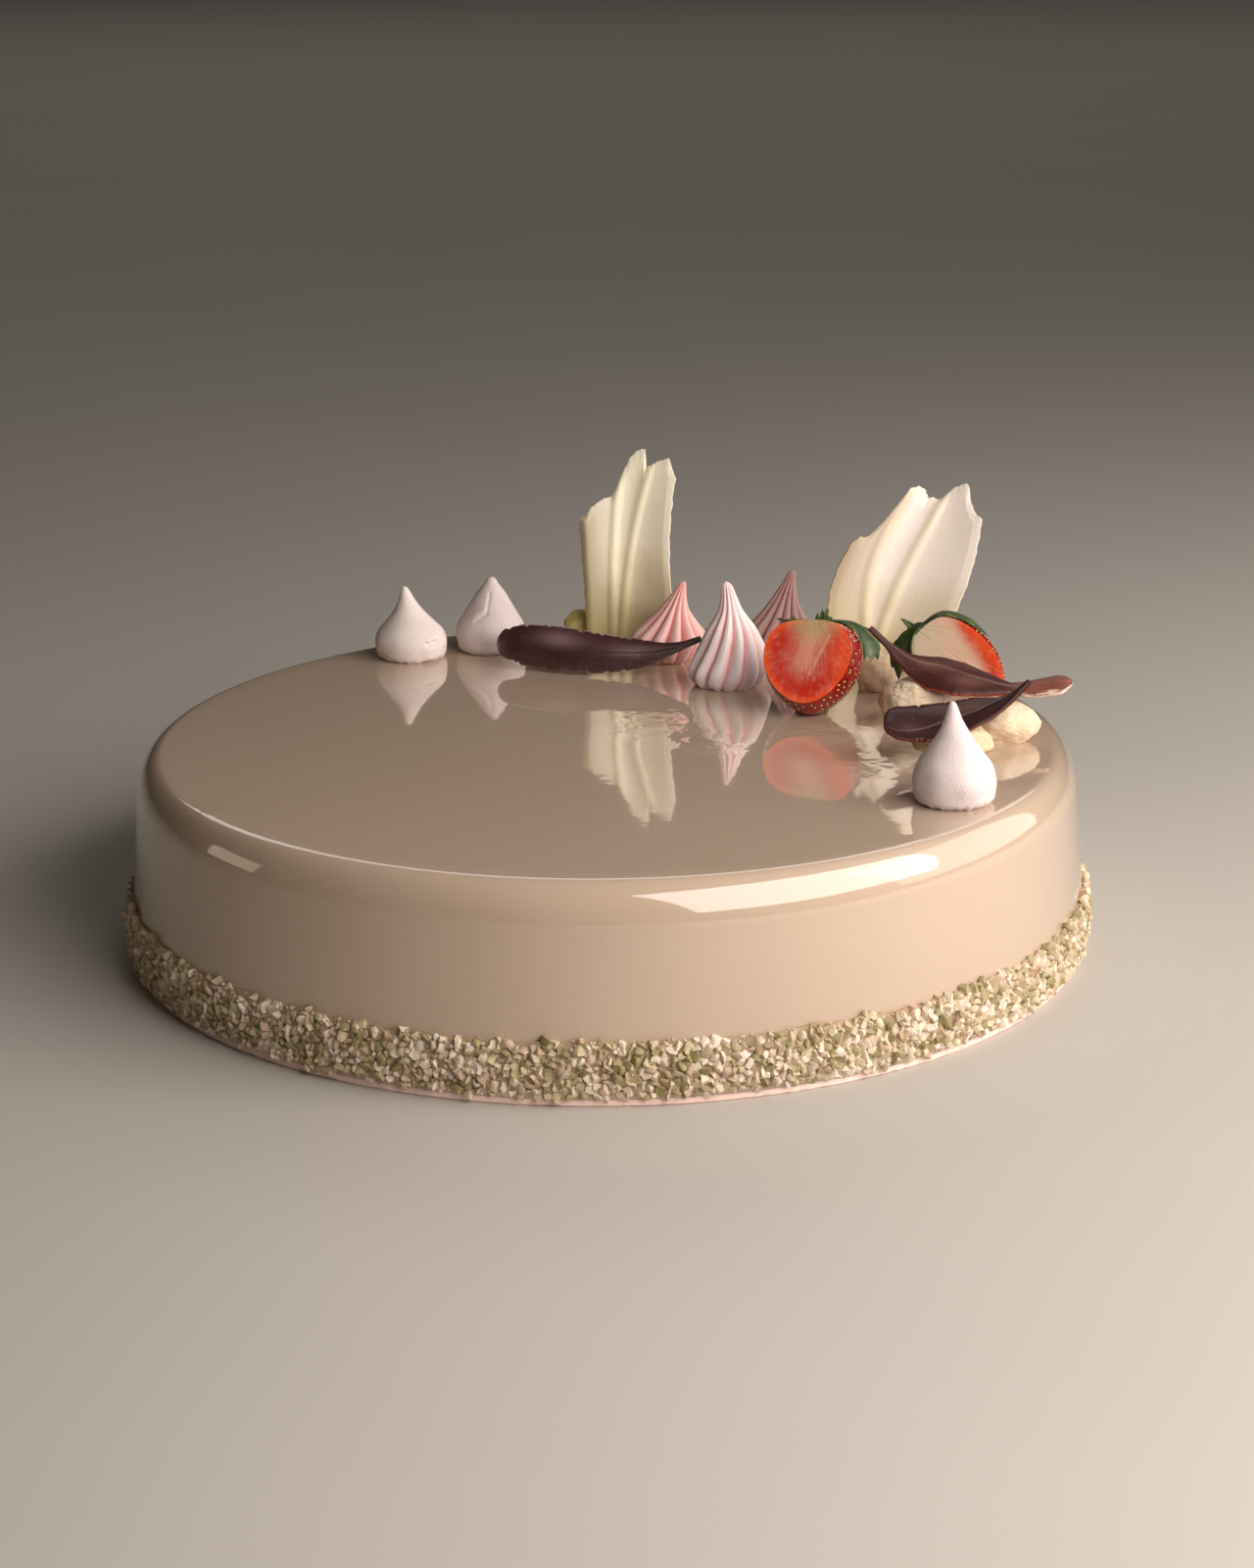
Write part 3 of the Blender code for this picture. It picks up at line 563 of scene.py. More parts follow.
# The white meringues. Three smooth kisses of baked egg white, piped through a round nozzle and lightly
# stuck on the glaze: each is a drop with a drawn tip, a little uneven. One has a dent and one has a
# fold, where the nozzle was pulled away. Flaws run between two places on the kiss.
TABLE = TORTE_HEIGHT - 0.05 * MM
DROP_KISS = ((0.0, 0.80), (0.05, 0.94), (0.14, 0.99), (0.25, 1.0), (0.37, 0.91), (0.50, 0.68), (0.64, 0.44),
             (0.80, 0.24), (0.93, 0.13), (0.985, 0.07), (1.0, 0.0))
CONE_KISS = ((0.0, 0.80), (0.05, 0.94), (0.14, 0.99), (0.25, 1.0), (0.37, 0.94), (0.52, 0.77), (0.65, 0.60),
             (0.78, 0.42), (0.90, 0.22), (0.97, 0.12), (1.0, 0.0))
SMOOTH_COLUMNS = 160
SMOOTH_ROWS = 112
KISS_UNEVEN = 0.035
KISS_UNEVEN_SIZE = 5.0
FOOT_RAG = 0.10
FOOT_RAG_HEIGHT = 0.04
# name, node, middle, width, height, lean of the tip, profile, flaws: (turn, level) to (turn, level), width
# and depth, then its pale and its shaded colour. The kisses are one white, but the back one is painted
# darker, as painted shade where the light falls off
WHITE_KISSES = (
    ("white_kiss_left", "meringue_left", (-57.3, 87.5), 21.3, 21.3, -1.7, DROP_KISS,
     (((30, 0.27), (48, 0.29), 0.55, 0.9), ((32, 0.325), (46, 0.34), 0.7, -0.35),
      ((-60, 0.10), (-30, 0.03), 0.8, 0.4)),
     (245, 232, 225), (228, 210, 201)),
    # painted darker than the others: painted shade where the light falls off at the back
    ("white_kiss_back", "meringue_back", (-34.2, 95.1), 20.4, 22.2, 0.6, CONE_KISS,
     (((-4, 0.80), (-8, 0.58), 0.5, 0.4), ((-9, 0.56), (-30, 0.47), 0.5, 0.5),
      ((-14, 0.62), (-36, 0.54), 1.1, -0.35)),
     (230, 215, 210), (212, 195, 190)),
    ("white_kiss_front", "meringue_front", (87.7, -61.5), 21.3, 26.3, -1.0, DROP_KISS,
     (((-10, 0.012), (6, 0.006), 0.9, 0.5), ((12, 0.0), (20, 0.0), 0.8, -0.3)),
     (234, 222, 220), (222, 204, 200)),
)


def curve_point(points, at):
    """A point of a smooth curve through a few points, at 0 to 1 along it."""
    spans = len(points) - 1
    index = min(int(at * spans), spans - 1)
    t = at * spans - index
    before = Vector(points[max(index - 1, 0)])
    start = Vector(points[index])
    end = Vector(points[index + 1])
    after = Vector(points[min(index + 2, spans)])
    return 0.5 * (2.0 * start + (end - before) * t
                  + (2.0 * before - 5.0 * start + 4.0 * end - after) * t ** 2
                  + (3.0 * start - before - 3.0 * end + after) * t ** 3)


def surface(name, finish, columns, rows, place, traits=(), closed=False):
    """A grid whose point at u, v goes to the spot that place(u, v) gives, with its traits' values.

    A closed one has its seam and its poles welded, and its faces turned outwards."""
    bm = bmesh.new()
    bmesh.ops.create_grid(bm, x_segments=columns, y_segments=rows, size=0.5)
    layers = [bm.verts.layers.float.new(trait) for trait in traits]
    for vert in bm.verts:
        spot, *values = place(vert.co.x + 0.5, vert.co.y + 0.5)
        vert.co = spot
        for layer, value in zip(layers, values):
            vert[layer] = value
    if closed:
        bmesh.ops.remove_doubles(bm, verts=bm.verts, dist=0.001 * MM)
        bmesh.ops.recalc_face_normals(bm, faces=bm.faces)
    return mesh_from(bm, name, finish)


def profile_at(profile, v):
    """Level and share of a kiss's profile, from its tip (0) to the middle of its foot (1)."""
    return curve_point(profile, 1.0 - v * 0.999999) if v < 1.0 else (0.0, 0.0)


def flaw_depth(flaws, turn, level, round_mm, height):
    """How deep the flaws press in at a place on a kiss, with distances measured over its skin."""
    total = 0.0
    for (turn_0, level_0), (turn_1, level_1), width, depth in flaws:
        start = Vector((math.radians(turn_0) * round_mm, level_0 * height))
        end = Vector((math.radians(turn_1) * round_mm, level_1 * height))
        spot = Vector((turn * round_mm, level * height))
        along = (end - start).normalized() if end != start else Vector((1.0, 0.0))
        reach = max(0.0, min((spot - start).dot(along), (end - start).length))
        total += depth * math.exp(-((spot - start - along * reach).length / width) ** 2)
    return total


for name, node, middle, width, height, lean, profile, flaws, pale, shade in WHITE_KISSES:
    finish, tree, shader = new_finish(
        name + "_meringue", Roughness=0.9, Specular_IOR_Level=0.25, Subsurface_Weight=0.2,
        Subsurface_Radius=(1.0, 0.75, 0.65), Subsurface_Scale=1.2 * MM)
    place = spots(tree)
    cloud = speckle(tree, place, 160.0, 3.0)
    paint(tree, shader, between(tree, cloud, tone(*shade), tone(*pale)))
    pores = wire(tree, "ShaderNodeTexVoronoi", {"Vector": place, "Scale": 1300.0}).outputs["Distance"]
    pits = stretched(tree, pores, 0.0, 0.35, "SMOOTHSTEP")
    powder = speckle(tree, place, 2400.0, 3.0, 0.65)
    relief(tree, shader, plus(tree, times(tree, pits, 0.45), powder), 0.2 * MM)

    def kiss_spot(u, v):
        level, share = profile_at(profile, v)
        turn = 2 * math.pi * (u - 0.5)
        radius = width / 2 * max(share, 0.0)
        way = Vector((math.sin(turn), -math.cos(turn), 0.0))
        lump = noise.noise((way * radius + Vector((*middle, level * height))) / KISS_UNEVEN_SIZE)
        rag = noise.noise(way * 7 + Vector((*middle, 2.0)))
        radius *= 1.0 + KISS_UNEVEN * lump + FOOT_RAG * rag * math.exp(-(level / FOOT_RAG_HEIGHT) ** 2)
        radius -= flaw_depth(flaws, turn, level, max(radius, 1.0), height) * min(1.0, radius / 2)
        spot = way * radius + Vector((lean * level ** 2, 0.0, level * height))
        return (spot + Vector((*middle, 0.0))) * MM + Vector((0.0, 0.0, TABLE)),

    kiss = linked(name, surface(name, finish, SMOOTH_COLUMNS, SMOOTH_ROWS, kiss_spot, closed=True))
    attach(kiss, "root")
    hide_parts(node)

# The pink meringues. Three kisses piped through a closed star nozzle that was turned a little as it rose,
# so twelve rounded ridges with sharp grooves run up to the tip. They are tinted pink, and the grooves are
# painted a deeper red than the ridges: partly the tint, partly painted shade in the creases. The foot is
# broken here and there.
LOW_KISS = ((0.0, 0.80), (0.04, 0.91), (0.12, 0.98), (0.20, 0.99), (0.33, 0.83), (0.47, 0.59), (0.66, 0.35),
            (0.84, 0.19), (0.95, 0.12), (0.99, 0.06), (1.0, 0.0))
ROUND_KISS = ((0.0, 0.66), (0.06, 0.80), (0.16, 0.93), (0.27, 1.0), (0.35, 0.95), (0.47, 0.72), (0.64, 0.42),
              (0.80, 0.24), (0.93, 0.13), (0.99, 0.07), (1.0, 0.0))
TALL_KISS = ((0.0, 0.74), (0.04, 0.87), (0.10, 0.97), (0.18, 1.0), (0.35, 0.83), (0.54, 0.60), (0.64, 0.43),
             (0.74, 0.28), (0.86, 0.19), (0.96, 0.12), (1.0, 0.0))
KISS_RIDGES = 12
KISS_TWIST = 0.5
RIDGE_DEPTH = 0.24
RIDGE_SHARPNESS = 0.75
RIDGE_WANDER = 0.02
FOOT_CRUMBLE = 0.25
FOOT_CRUMBLE_HEIGHT = 0.05
RIDGED_COLUMNS = 228
RIDGED_ROWS = 100
# name, node, middle, width, height, lean, bow, profile, colours of its ridges, its sides and its grooves; the
# grooves' deeper red is partly painted shade in the creases
PINK_KISSES = (
    ("pink_kiss_by_shard", "pink_kiss_left", (18.1, 81.4), 22.0, 23.4, 4.8, 0.0, ROUND_KISS,
     (250, 204, 196), (238, 174, 165), (188, 92, 82)),
    # painted near white: painted light where the berry in front shades this kiss
    ("pink_kiss_by_berry", "pink_kiss_middle", (34.7, 52.9), 23.6, 30.2, -0.4, 1.4, TALL_KISS,
     (255, 238, 236), (255, 216, 214), (248, 152, 150)),
    # painted darker: painted shade on the kiss at the back
    ("pink_kiss_behind", "pink_kiss_right", (51.4, 91.8), 21.0, 24.1, 4.1, 0.0, LOW_KISS,
     (211, 178, 172), (193, 143, 137), (150, 76, 69)),
)

for name, node, middle, width, height, lean, bow, profile, ridge, side, groove_shade in PINK_KISSES:
    finish, tree, shader = new_finish(
        name + "_meringue", Roughness=0.88, Specular_IOR_Level=0.25, Subsurface_Weight=0.2,
        Subsurface_Radius=(1.0, 0.5, 0.5), Subsurface_Scale=1.2 * MM)
    place = spots(tree)
    # Ridges take the pale colour and grooves the deep red, which is partly the tint and partly painted shade
    # in the creases.
    lit_crest = trait(tree, "lit_crest")
    share = plus(tree, lit_crest, swing(tree, speckle(tree, place, 260.0, 3.0, 0.6), 0.22))
    pink = ramp(tree, share, (0.0, tone(*groove_shade)), (0.30, tone(*side)), (0.80, tone(*ridge)))
    paint(tree, shader, pink)
    relief(tree, shader, speckle(tree, place, 2000.0, 3.0, 0.65), 0.16 * MM)

    def ridged_spot(u, v):
        level, share = profile_at(profile, v)
        turn = 2 * math.pi * u
        way = Vector((math.cos(turn), math.sin(turn), 0.0))
        lobe = abs(math.cos(KISS_RIDGES / 2 * turn)) ** RIDGE_SHARPNESS
        wander = noise.noise(Vector((way.x, way.y, level)) * 2.2 + Vector((*middle, 0.0)))
        drag = noise.noise(way * 9 + Vector((*middle, level * 1.5 + 5.0)))
        deep = RIDGE_DEPTH * (0.55 + 0.45 * min(1.0, level / 0.25)) * (1.0 + 0.5 * wander)
        radius = width / 2 * max(share, 0.0) * (1.0 - deep * (1.0 - lobe) + RIDGE_WANDER * (wander + drag))
        angle = turn + KISS_TWIST * level
        crumble = max(0.0, noise.noise(way * 4 + Vector((*middle, 9.0))))
        radius *= 1.0 - FOOT_CRUMBLE * crumble * math.exp(-(level / FOOT_CRUMBLE_HEIGHT) ** 2)
        sideways = lean * level ** 2 + bow * math.sin(math.pi * level)
        spot = Vector((radius * math.cos(angle) + sideways, radius * math.sin(angle), level * height))
        # the ridge share: where it falls, the groove's painted shade comes in
        lit_crest_share = lobe * (1.0 - 0.45 * level)
        return (spot + Vector((*middle, 0.0))) * MM + Vector((0.0, 0.0, TABLE)), lit_crest_share

    mesh = surface(name, finish, RIDGED_COLUMNS, RIDGED_ROWS, ridged_spot, ("lit_crest",), closed=True)
    kiss = linked(name, mesh)
    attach(kiss, "root")
    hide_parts(node)

# The white chocolate shards. White chocolate was spread on a film, drawn with a comb into rounded ribs
# and broken when it had set, so the top edge is torn. Each stands on the glaze, leans back a
# little and thins to its edges.
SHARD_THICKNESS = 1.5 * MM
SHARD_EDGE = 0.45
SHARD_LIFT = 0.25
SHARD_FINE = 105
SHARD_ROWS = 105
SHARD_RAG = 0.009
SHARD_SIDE_RAG = 0.35
TORN_FINENESS = (34, 90)
RIB_RISE = 0.85
RIB_WIDTH = 0.040
# a shard's torn edge and its ribs are in shares of its width and height; its tones are those of the flat, the
# ribs, low down and at its left side; the last two are painted shade, at the foot and on the left side
SHARDS = (
    {"name": "shard_left", "node": "white_shard_left", "height": 57.8, "lean": 5.0, "bow": 3.5,
     "foot": ((-5.2, 99.5), (21.6, 97.5)), "top": (-8.6, 22.2), "sweep": (0.0, -2.8),
     "edge": ((0.0, 0.66), (0.07, 0.67), (0.12, 0.704), (0.23, 0.743), (0.36, 0.762), (0.40, 0.789),
              (0.45, 0.851), (0.525, 0.941), (0.585, 0.983), (0.64, 1.0), (0.68, 1.0), (0.70, 0.908),
              (0.80, 0.938), (0.91, 0.963), (0.96, 0.907), (1.0, 0.868)),
     "ribs": ((0.09, 0.04), (0.46, 0.27), (0.78, 0.36)),
     "tones": ((252, 238, 214), (255, 240, 202), (172, 157, 106), (140, 122, 92))},
    {"name": "shard_right", "node": "white_shard_right", "height": 53.3, "lean": 8.0, "bow": 4.5,
     "foot": ((67.2, 67.0), (91.1, 63.5)), "top": (85.2, 109.0), "sweep": (-10.6, 4.0),
     "edge": ((0.0, 0.70), (0.03, 0.73), (0.08, 0.717), (0.13, 0.757), (0.155, 0.82), (0.18, 0.975),
              (0.28, 0.977), (0.38, 0.952), (0.45, 0.912), (0.50, 0.92), (0.57, 0.902), (0.67, 0.968),
              (0.79, 1.0), (0.83, 0.98), (0.88, 0.902), (0.93, 0.855), (1.0, 0.826)),
     "ribs": ((0.18, 0.36), (0.62, 0.42)),
     "tones": ((246, 231, 219), (242, 225, 194), (204, 190, 140), (184, 163, 128))},
)


def solid_sheet(name, mesh, thickness, edge_share):
    """A sheet made solid. It thins to a share of its thickness where the trait 'inner' falls to 0."""
    obj = linked(name, mesh)
    group = obj.vertex_groups.new(name="inner")
    for index, inner in enumerate(mesh.attributes["inner"].data):
        group.add([index], max(0.0, min(1.0, inner.value)), "REPLACE")
    wall = obj.modifiers.new("thickness", "SOLIDIFY")
    wall.thickness = thickness
    wall.offset = 0.0
    wall.use_even_offset = False
    wall.vertex_group = "inner"
    wall.thickness_vertex_group = edge_share
    return baked(obj)


def between_points(points, at):
    """Straight interpolation in a short list of (place, value) points."""
    for (start, low), (end, high) in zip(points, points[1:]):
        if at <= end:
            return low + (high - low) * max(0.0, at - start) / (end - start)
    return points[-1][1]


for shard in SHARDS:
    flat, ribbed, foot_shade_tone, left_shade_tone = (tone(*colour) for colour in shard["tones"])
    finish, tree, shader = new_finish(
        shard["name"] + "_chocolate", Roughness=0.45, Coat_Weight=0.2, Coat_Roughness=0.25,
        Subsurface_Weight=0.35, Subsurface_Radius=(1.0, 0.8, 0.5), Subsurface_Scale=2.5 * MM)
    place = spots(tree)
    rib, rise, across = (trait(tree, label) for label in ("rib", "rise", "across"))
    strokes = joined_up(tree, X=times(tree, across, 60.0), Y=times(tree, rise, 3.0))
    combed = speckle(tree, strokes, 1.0, 3.0, 0.6)
    bands = plus(tree, times(tree, rib, 0.7), swing(tree, combed, 0.35))
    plain = between(tree, bands, flat, ribbed)
    cloud = swing(tree, speckle(tree, place, 60.0, 2.0), 0.25)
    # Low down the shard turns to the olive low colour: painted shade at its foot by the glaze.
    foot_shade = stretched(tree, plus(tree, rise, cloud), 0.5, 0.02)
    # Its left side turns to the darker side colour: painted shade on the side away from the light.
    left_shade = stretched(tree, across, 0.34, 0.0)
    body = between(tree, foot_shade, between(tree, left_shade, plain, left_shade_tone), foot_shade_tone)
    paint(tree, shader, body)
    powder = speckle(tree, place, 900.0, 2.0)
    relief(tree, shader, plus(tree, combed, times(tree, powder, 0.35)), 0.10 * MM)

    (foot_x0, foot_y0), (foot_x1, foot_y1) = shard["foot"]
    (top_x0, top_x1), (sweep_0, sweep_1) = shard["top"], shard["sweep"]
    edge = shard["edge"]
    stops = [edge[0][0]]
    for (start, _), (end, _) in zip(edge, edge[1:]):
        parts = max(2, round((end - start) * SHARD_FINE))
        stops += [start + (end - start) * part / parts for part in range(1, parts + 1)]

    def shard_spot(column, v):
        u = stops[round(column * (len(stops) - 1))]
        torn = noise.noise(Vector((u * TORN_FINENESS[0], shard["lean"], 0.0)))
        torn += 0.6 * noise.noise(Vector((u * TORN_FINENESS[1], 3.0, 0.0)))
        reach = between_points(edge, u) + SHARD_RAG * torn
        rise = reach * v
        x = (foot_x0 + (foot_x1 - foot_x0) * u) * (1 - rise) + (top_x0 + (top_x1 - top_x0) * u) * rise
        x += (sweep_0 + (sweep_1 - sweep_0) * u) * math.sin(math.pi * rise)
        side = abs(2 * u - 1)
        x += SHARD_SIDE_RAG * side ** 12 * noise.noise(Vector((u * 3, rise * 24, shard["lean"])))
        ribs = 0.0
        for high, low in shard["ribs"]:
            off = (u - low - (high - low) * rise) / RIB_WIDTH
            ribs += 0.65 * math.exp(-off ** 2) + 0.35 * math.exp(-(off / 2.6) ** 2)
        fade = min(1.0, (1 - v) / 0.05 + 0.5)
        y = foot_y0 + (foot_y1 - foot_y0) * u + shard["lean"] * rise ** 2
        y += shard["bow"] * (math.sin(math.pi * u) - 0.5) - RIB_RISE * ribs * fade
        z = SHARD_LIFT * min(1.0, 4 * v) + shard["height"] * rise
        inner = min(1.0, min(u, 1 - u) / 0.06, (1 - v) / 0.06)
        return Vector((x, y, z)) * MM + Vector((0.0, 0.0, TABLE)), inner, min(1.0, ribs), rise, u

    mesh = surface(shard["name"], finish, len(stops) - 1, SHARD_ROWS, shard_spot,
                   ("inner", "rib", "rise", "across"))
    mesh = solid_sheet(shard["name"], mesh, SHARD_THICKNESS, SHARD_EDGE)
    mesh.set_sharp_from_angle(angle=math.radians(50))
    piece = linked(shard["name"], mesh)
    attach(piece, "root")
    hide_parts(shard["node"])

# The dark chocolate feathers. Each was drawn with a knife on a film while the chocolate was soft: a thin
# quill widens into a cupped vane with a raised rib, and its reddish edges are barbed with saw-tooth nicks.
# Highlights are painted on the vane: a painted sheen, a pale painted line along the rib and, on the back
# feather, a paler painted lit far end with a pale lower edge, partly bloom. They lie by the kisses and on the
# cream pieces, and the left one's end curls.
SETTLED = Vector((0.0, 0.0, -0.3))
FEATHER_THICKNESS = 1.25 * MM
FEATHER_EDGE = 0.42
FEATHER_COLUMNS = 44
FEATHER_ROWS = 180
NICK_WIDTH = (0.010, 0.034)
RIB_HEIGHT = 0.28
FEATHER_RIB = 0.045
FEATHER_WAVE = 0.55
FEATHER_RAG = 0.35
FEATHER_RAG_FINENESS = 38
CURL_FROM = 0.62
LIT_END_FROM = 0.72
RIM_FROM = 0.93
RIB_HIGHLIGHT_WIDTH = 0.022
EVEN_VANE = ((0.0, 0.10), (0.12, 0.15), (0.22, 0.30), (0.36, 0.68), (0.55, 0.93), (0.72, 1.0), (0.88, 0.90),
             (0.96, 0.62), (1.0, 0.12))
WAISTED_VANE = ((0.0, 0.09), (0.10, 0.14), (0.20, 0.46), (0.33, 0.95), (0.45, 1.0), (0.62, 0.70),
                (0.74, 0.34), (0.86, 0.62), (0.94, 0.66), (1.0, 0.16))
# Each feather's path runs from the quill's tip to the round end, and across is the way of the vane at both
# ends. It has a number of nicks with their least and greatest depth, a gloss of roughness, clear coat and
# specular level, the tones of its plain, bloomed and rim chocolate, the tone of its painted sheen, and
# painted sheens on the vane, which are painted highlights: the place along it and beside its middle, the
# reach each way and the strength. Its line is the strength of a painted highlight along the rib, and its lit
# end is how far its far end is painted paler, as painted light
FEATHERS = (
    {"name": "feather_left", "node": "dark_feather_left", "vane": EVEN_VANE, "width": 13.2, "cup": 1.8,
     "curl": 2.0,
     "path": ((27.5, 61.5, 65.6), (20.2, 62.0, 63.0), (10.8, 63.0, 61.2), (-0.5, 64.0, 61.0),
              (-11.8, 67.0, 61.5), (-21.3, 71.0, 61.8), (-30.6, 75.5, 61.5)),
     "across": ((0.0, 0.45, 0.89), (0.0, 0.45, 0.89)), "rib": ((0.0, 0.0), (1.0, 0.1)), "line": 0.12,
     "painted_lit_end": 0.0, "seed": 3, "nicks": (36, 1.2, 3.6), "gloss": (0.3, 1.0, 0.5),
     "tones": ((62, 34, 34), (84, 56, 56), (164, 86, 72)), "painted_sheen_tone": (136, 110, 108),
     "painted_sheen": ((0.70, 0.35, 0.10, 0.34, 0.85), (0.36, 0.20, 0.13, 0.30, 0.45), (0.97, -0.4, 0.03, 0.5, 0.4))},
    {"name": "feather_back", "node": "dark_feather_back", "vane": WAISTED_VANE, "width": 13.4, "cup": -1.4,
     "curl": 0.0,
     "path": ((71.9, 14.0, 80.4), (82.0, 9.5, 72.3), (93.0, 5.5, 69.2), (102.3, 3.5, 67.4),
              (112.5, 2.8, 65.9), (125.8, 2.0, 67.9)),
     "across": ((0.10, 0.80, 0.60), (0.10, 0.95, 0.30)), "rib": ((0.0, 0.3), (0.5, 0.1), (1.0, 0.0)),
     "line": 0.10, "painted_lit_end": 1.0, "seed": 5, "nicks": (12, 0.3, 0.9), "gloss": (0.42, 0.12, 0.3),
     "tones": ((64, 28, 24), (92, 54, 48), (190, 74, 42)), "painted_sheen_tone": (130, 90, 82),
     "painted_sheen": ((0.30, 0.15, 0.09, 0.30, 0.55), (0.52, -0.25, 0.10, 0.30, 0.50))},
    {"name": "feather_front", "node": "dark_feather_front", "vane": EVEN_VANE, "width": 12.8, "cup": -1.4,
     "curl": 0.0,
     "path": ((112.4, -11.0, 71.9), (105.9, -15.0, 67.7), (96.7, -20.0, 65.9), (87.8, -24.0, 64.3),
              (78.9, -27.0, 64.6), (72.7, -28.0, 66.3)),
     "across": ((0.0, 0.85, 0.53), (0.10, 0.85, 0.53)),
     "rib": ((0.0, 0.7), (0.17, 0.6), (0.36, 0.05), (0.60, 0.0), (0.78, -0.35), (1.0, -0.6)), "line": 0.35,
     "painted_lit_end": 0.0, "seed": 9, "nicks": (20, 0.8, 2.4), "gloss": (0.5, 0.04, 0.2),
     "tones": ((42, 18, 16), (60, 30, 26), (104, 50, 40)), "painted_sheen_tone": (104, 70, 62),
     "painted_sheen": ((0.45, 0.35, 0.12, 0.30, 0.40), (0.80, -0.25, 0.08, 0.30, 0.40))},
)
CHOCOLATE_SPECK_AND_LIT_END = (150, 92, 76)
CHOCOLATE_HIGHLIGHT_AND_BLOOM = (226, 200, 176)


def eased(share):
    """A share kept between 0 and 1, with a soft start and a soft end."""
    kept = max(0.0, min(1.0, share))
    return kept * kept * (3.0 - 2.0 * kept)


for feather in FEATHERS:
    dark, bloomed, rimmed, painted_sheen_tone = (tone(*colour) for colour in feather["tones"] + (feather["painted_sheen_tone"],))
    finish, tree, shader = new_finish(
        feather["name"] + "_chocolate", Roughness=feather["gloss"][0], Coat_Weight=feather["gloss"][1],
        Coat_Roughness=0.14, Specular_IOR_Level=feather["gloss"][2])
    place = spots(tree)
    line, rim, end, painted_sheen, side, down = (
        trait(tree, label) for label in ("line", "rim", "painted_lit_end", "painted_sheen", "side", "down"))
    bloom = ramp(tree, speckle(tree, place, 170.0, 5.0, 0.75), (0.42, (0.0, 0.0, 0.0, 1.0)),
                 (0.78, (0.6, 0.6, 0.6, 1.0)))
    specks = wire(tree, "ShaderNodeTexVoronoi", {"Vector": place, "Scale": 620.0}).outputs["Distance"]
    dots = stretched(tree, specks, 0.15, 0.05)
    # The vane turns to the sheen tone where its sheens lie: a painted highlight.
    brown = between(tree, painted_sheen, between(tree, bloom, dark, bloomed), painted_sheen_tone)
    brown = between(tree, times(tree, dots, 0.5), brown, tone(*CHOCOLATE_SPECK_AND_LIT_END))
    brown = between(tree, times(tree, rim, 0.7), brown, rimmed)
    # A pale painted highlight along the rib, where the line lies.
    brown = between(tree, times(tree, line, feather["line"]), brown, tone(*CHOCOLATE_HIGHLIGHT_AND_BLOOM))
    strokes = joined_up(tree, X=times(tree, side, 9.0), Y=times(tree, down, 16.0))
    streaks = swing(tree, speckle(tree, strokes, 1.0, 4.0, 0.7), 0.8)
    # The far end is painted paler where it is marked as lit: painted light on the turned end.
    lit_far_end = times(tree, end, plus(tree, 0.7, streaks))
    brown = between(tree, lit_far_end, brown, tone(*CHOCOLATE_SPECK_AND_LIT_END))
    # The lower edge of the lit far end is painted pale: partly bloom, partly a painted highlight.
    low_edge = stretched(tree, plus(tree, times(tree, side, -1.0), streaks), 0.78, 0.95)
    highlit_lower_edge = times(tree, end, low_edge)
    paint(tree, shader, between(tree, highlit_lower_edge, brown, tone(*CHOCOLATE_HIGHLIGHT_AND_BLOOM)))
    brushed = plus(tree, speckle(tree, strokes, 3.0, 3.0, 0.6), speckle(tree, place, 900.0, 3.0, 0.6))
    relief(tree, shader, brushed, 0.07 * MM)

    across_start = Vector(feather["across"][0]).normalized()
    across_end = Vector(feather["across"][1]).normalized()
    draw = random.Random(feather["seed"])
    count, shallow, deep = feather["nicks"]
    nicks = [(draw.random(), draw.choice((-1, 1)), draw.uniform(shallow, deep), draw.uniform(*NICK_WIDTH))
             for _ in range(count)]

    def feather_spot(u, v):
        side = 2 * u - 1
        middle = curve_point(feather["path"], v) + SETTLED
        ahead = curve_point(feather["path"], min(v + 0.02, 1.0))
        ahead = (ahead - curve_point(feather["path"], max(v - 0.02, 0.0))).normalized()
        across = across_start.lerp(across_end, v)
        across = (across - ahead * across.dot(ahead)).normalized()
        out = ahead.cross(across).normalized()
        share = max(0.05, between_points(feather["vane"], v))
        half = feather["width"] / 2 * share
        ragged = noise.noise(Vector((v * FEATHER_RAG_FINENESS, side > 0, feather["seed"])))
        bite = FEATHER_RAG * max(0.0, ragged)
        for place_along, flank, depth, width in nicks:
            if flank * side > 0:
                behind = (v - place_along) / width
                bite += depth * max(0.0, 1.0 - behind) * eased(4.0 * behind)
        bite *= max(0.0, share - 0.25)
        sideways = half * side - math.copysign(bite * abs(side) ** 8, side)
        off_rib = side - between_points(feather["rib"], v)
        ridge = math.exp(-(off_rib * share / FEATHER_RIB) ** 2)
        wave = FEATHER_WAVE * noise.noise(Vector((v * 5, side * 1.3, feather["seed"] + 0.5))) * share
        rise = feather["cup"] * share * (side ** 2 - 0.5) + RIB_HEIGHT * ridge * min(1.0, share / 0.4) + wave
        rise -= feather["curl"] * max(0.0, (v - CURL_FROM) / (1 - CURL_FROM)) ** 2
        inner = min(1.0, (1 - abs(side)) / 0.12, (1 - v) / 0.03)
        # The line marks where the rib's painted highlight lies.
        line = math.exp(-(off_rib * share / RIB_HIGHLIGHT_WIDTH) ** 2) * max(0.0, min(1.0, v / 0.1, (0.85 - v) / 0.1))
        rim = max(0.0, (abs(side) - RIM_FROM) / (1 - RIM_FROM)) * min(1.0, share / 0.5)
        # How far the far end is painted paler, as painted light.
        lit_end_share = feather["painted_lit_end"] * max(0.0, min(1.0, (v - LIT_END_FROM) / 0.1))
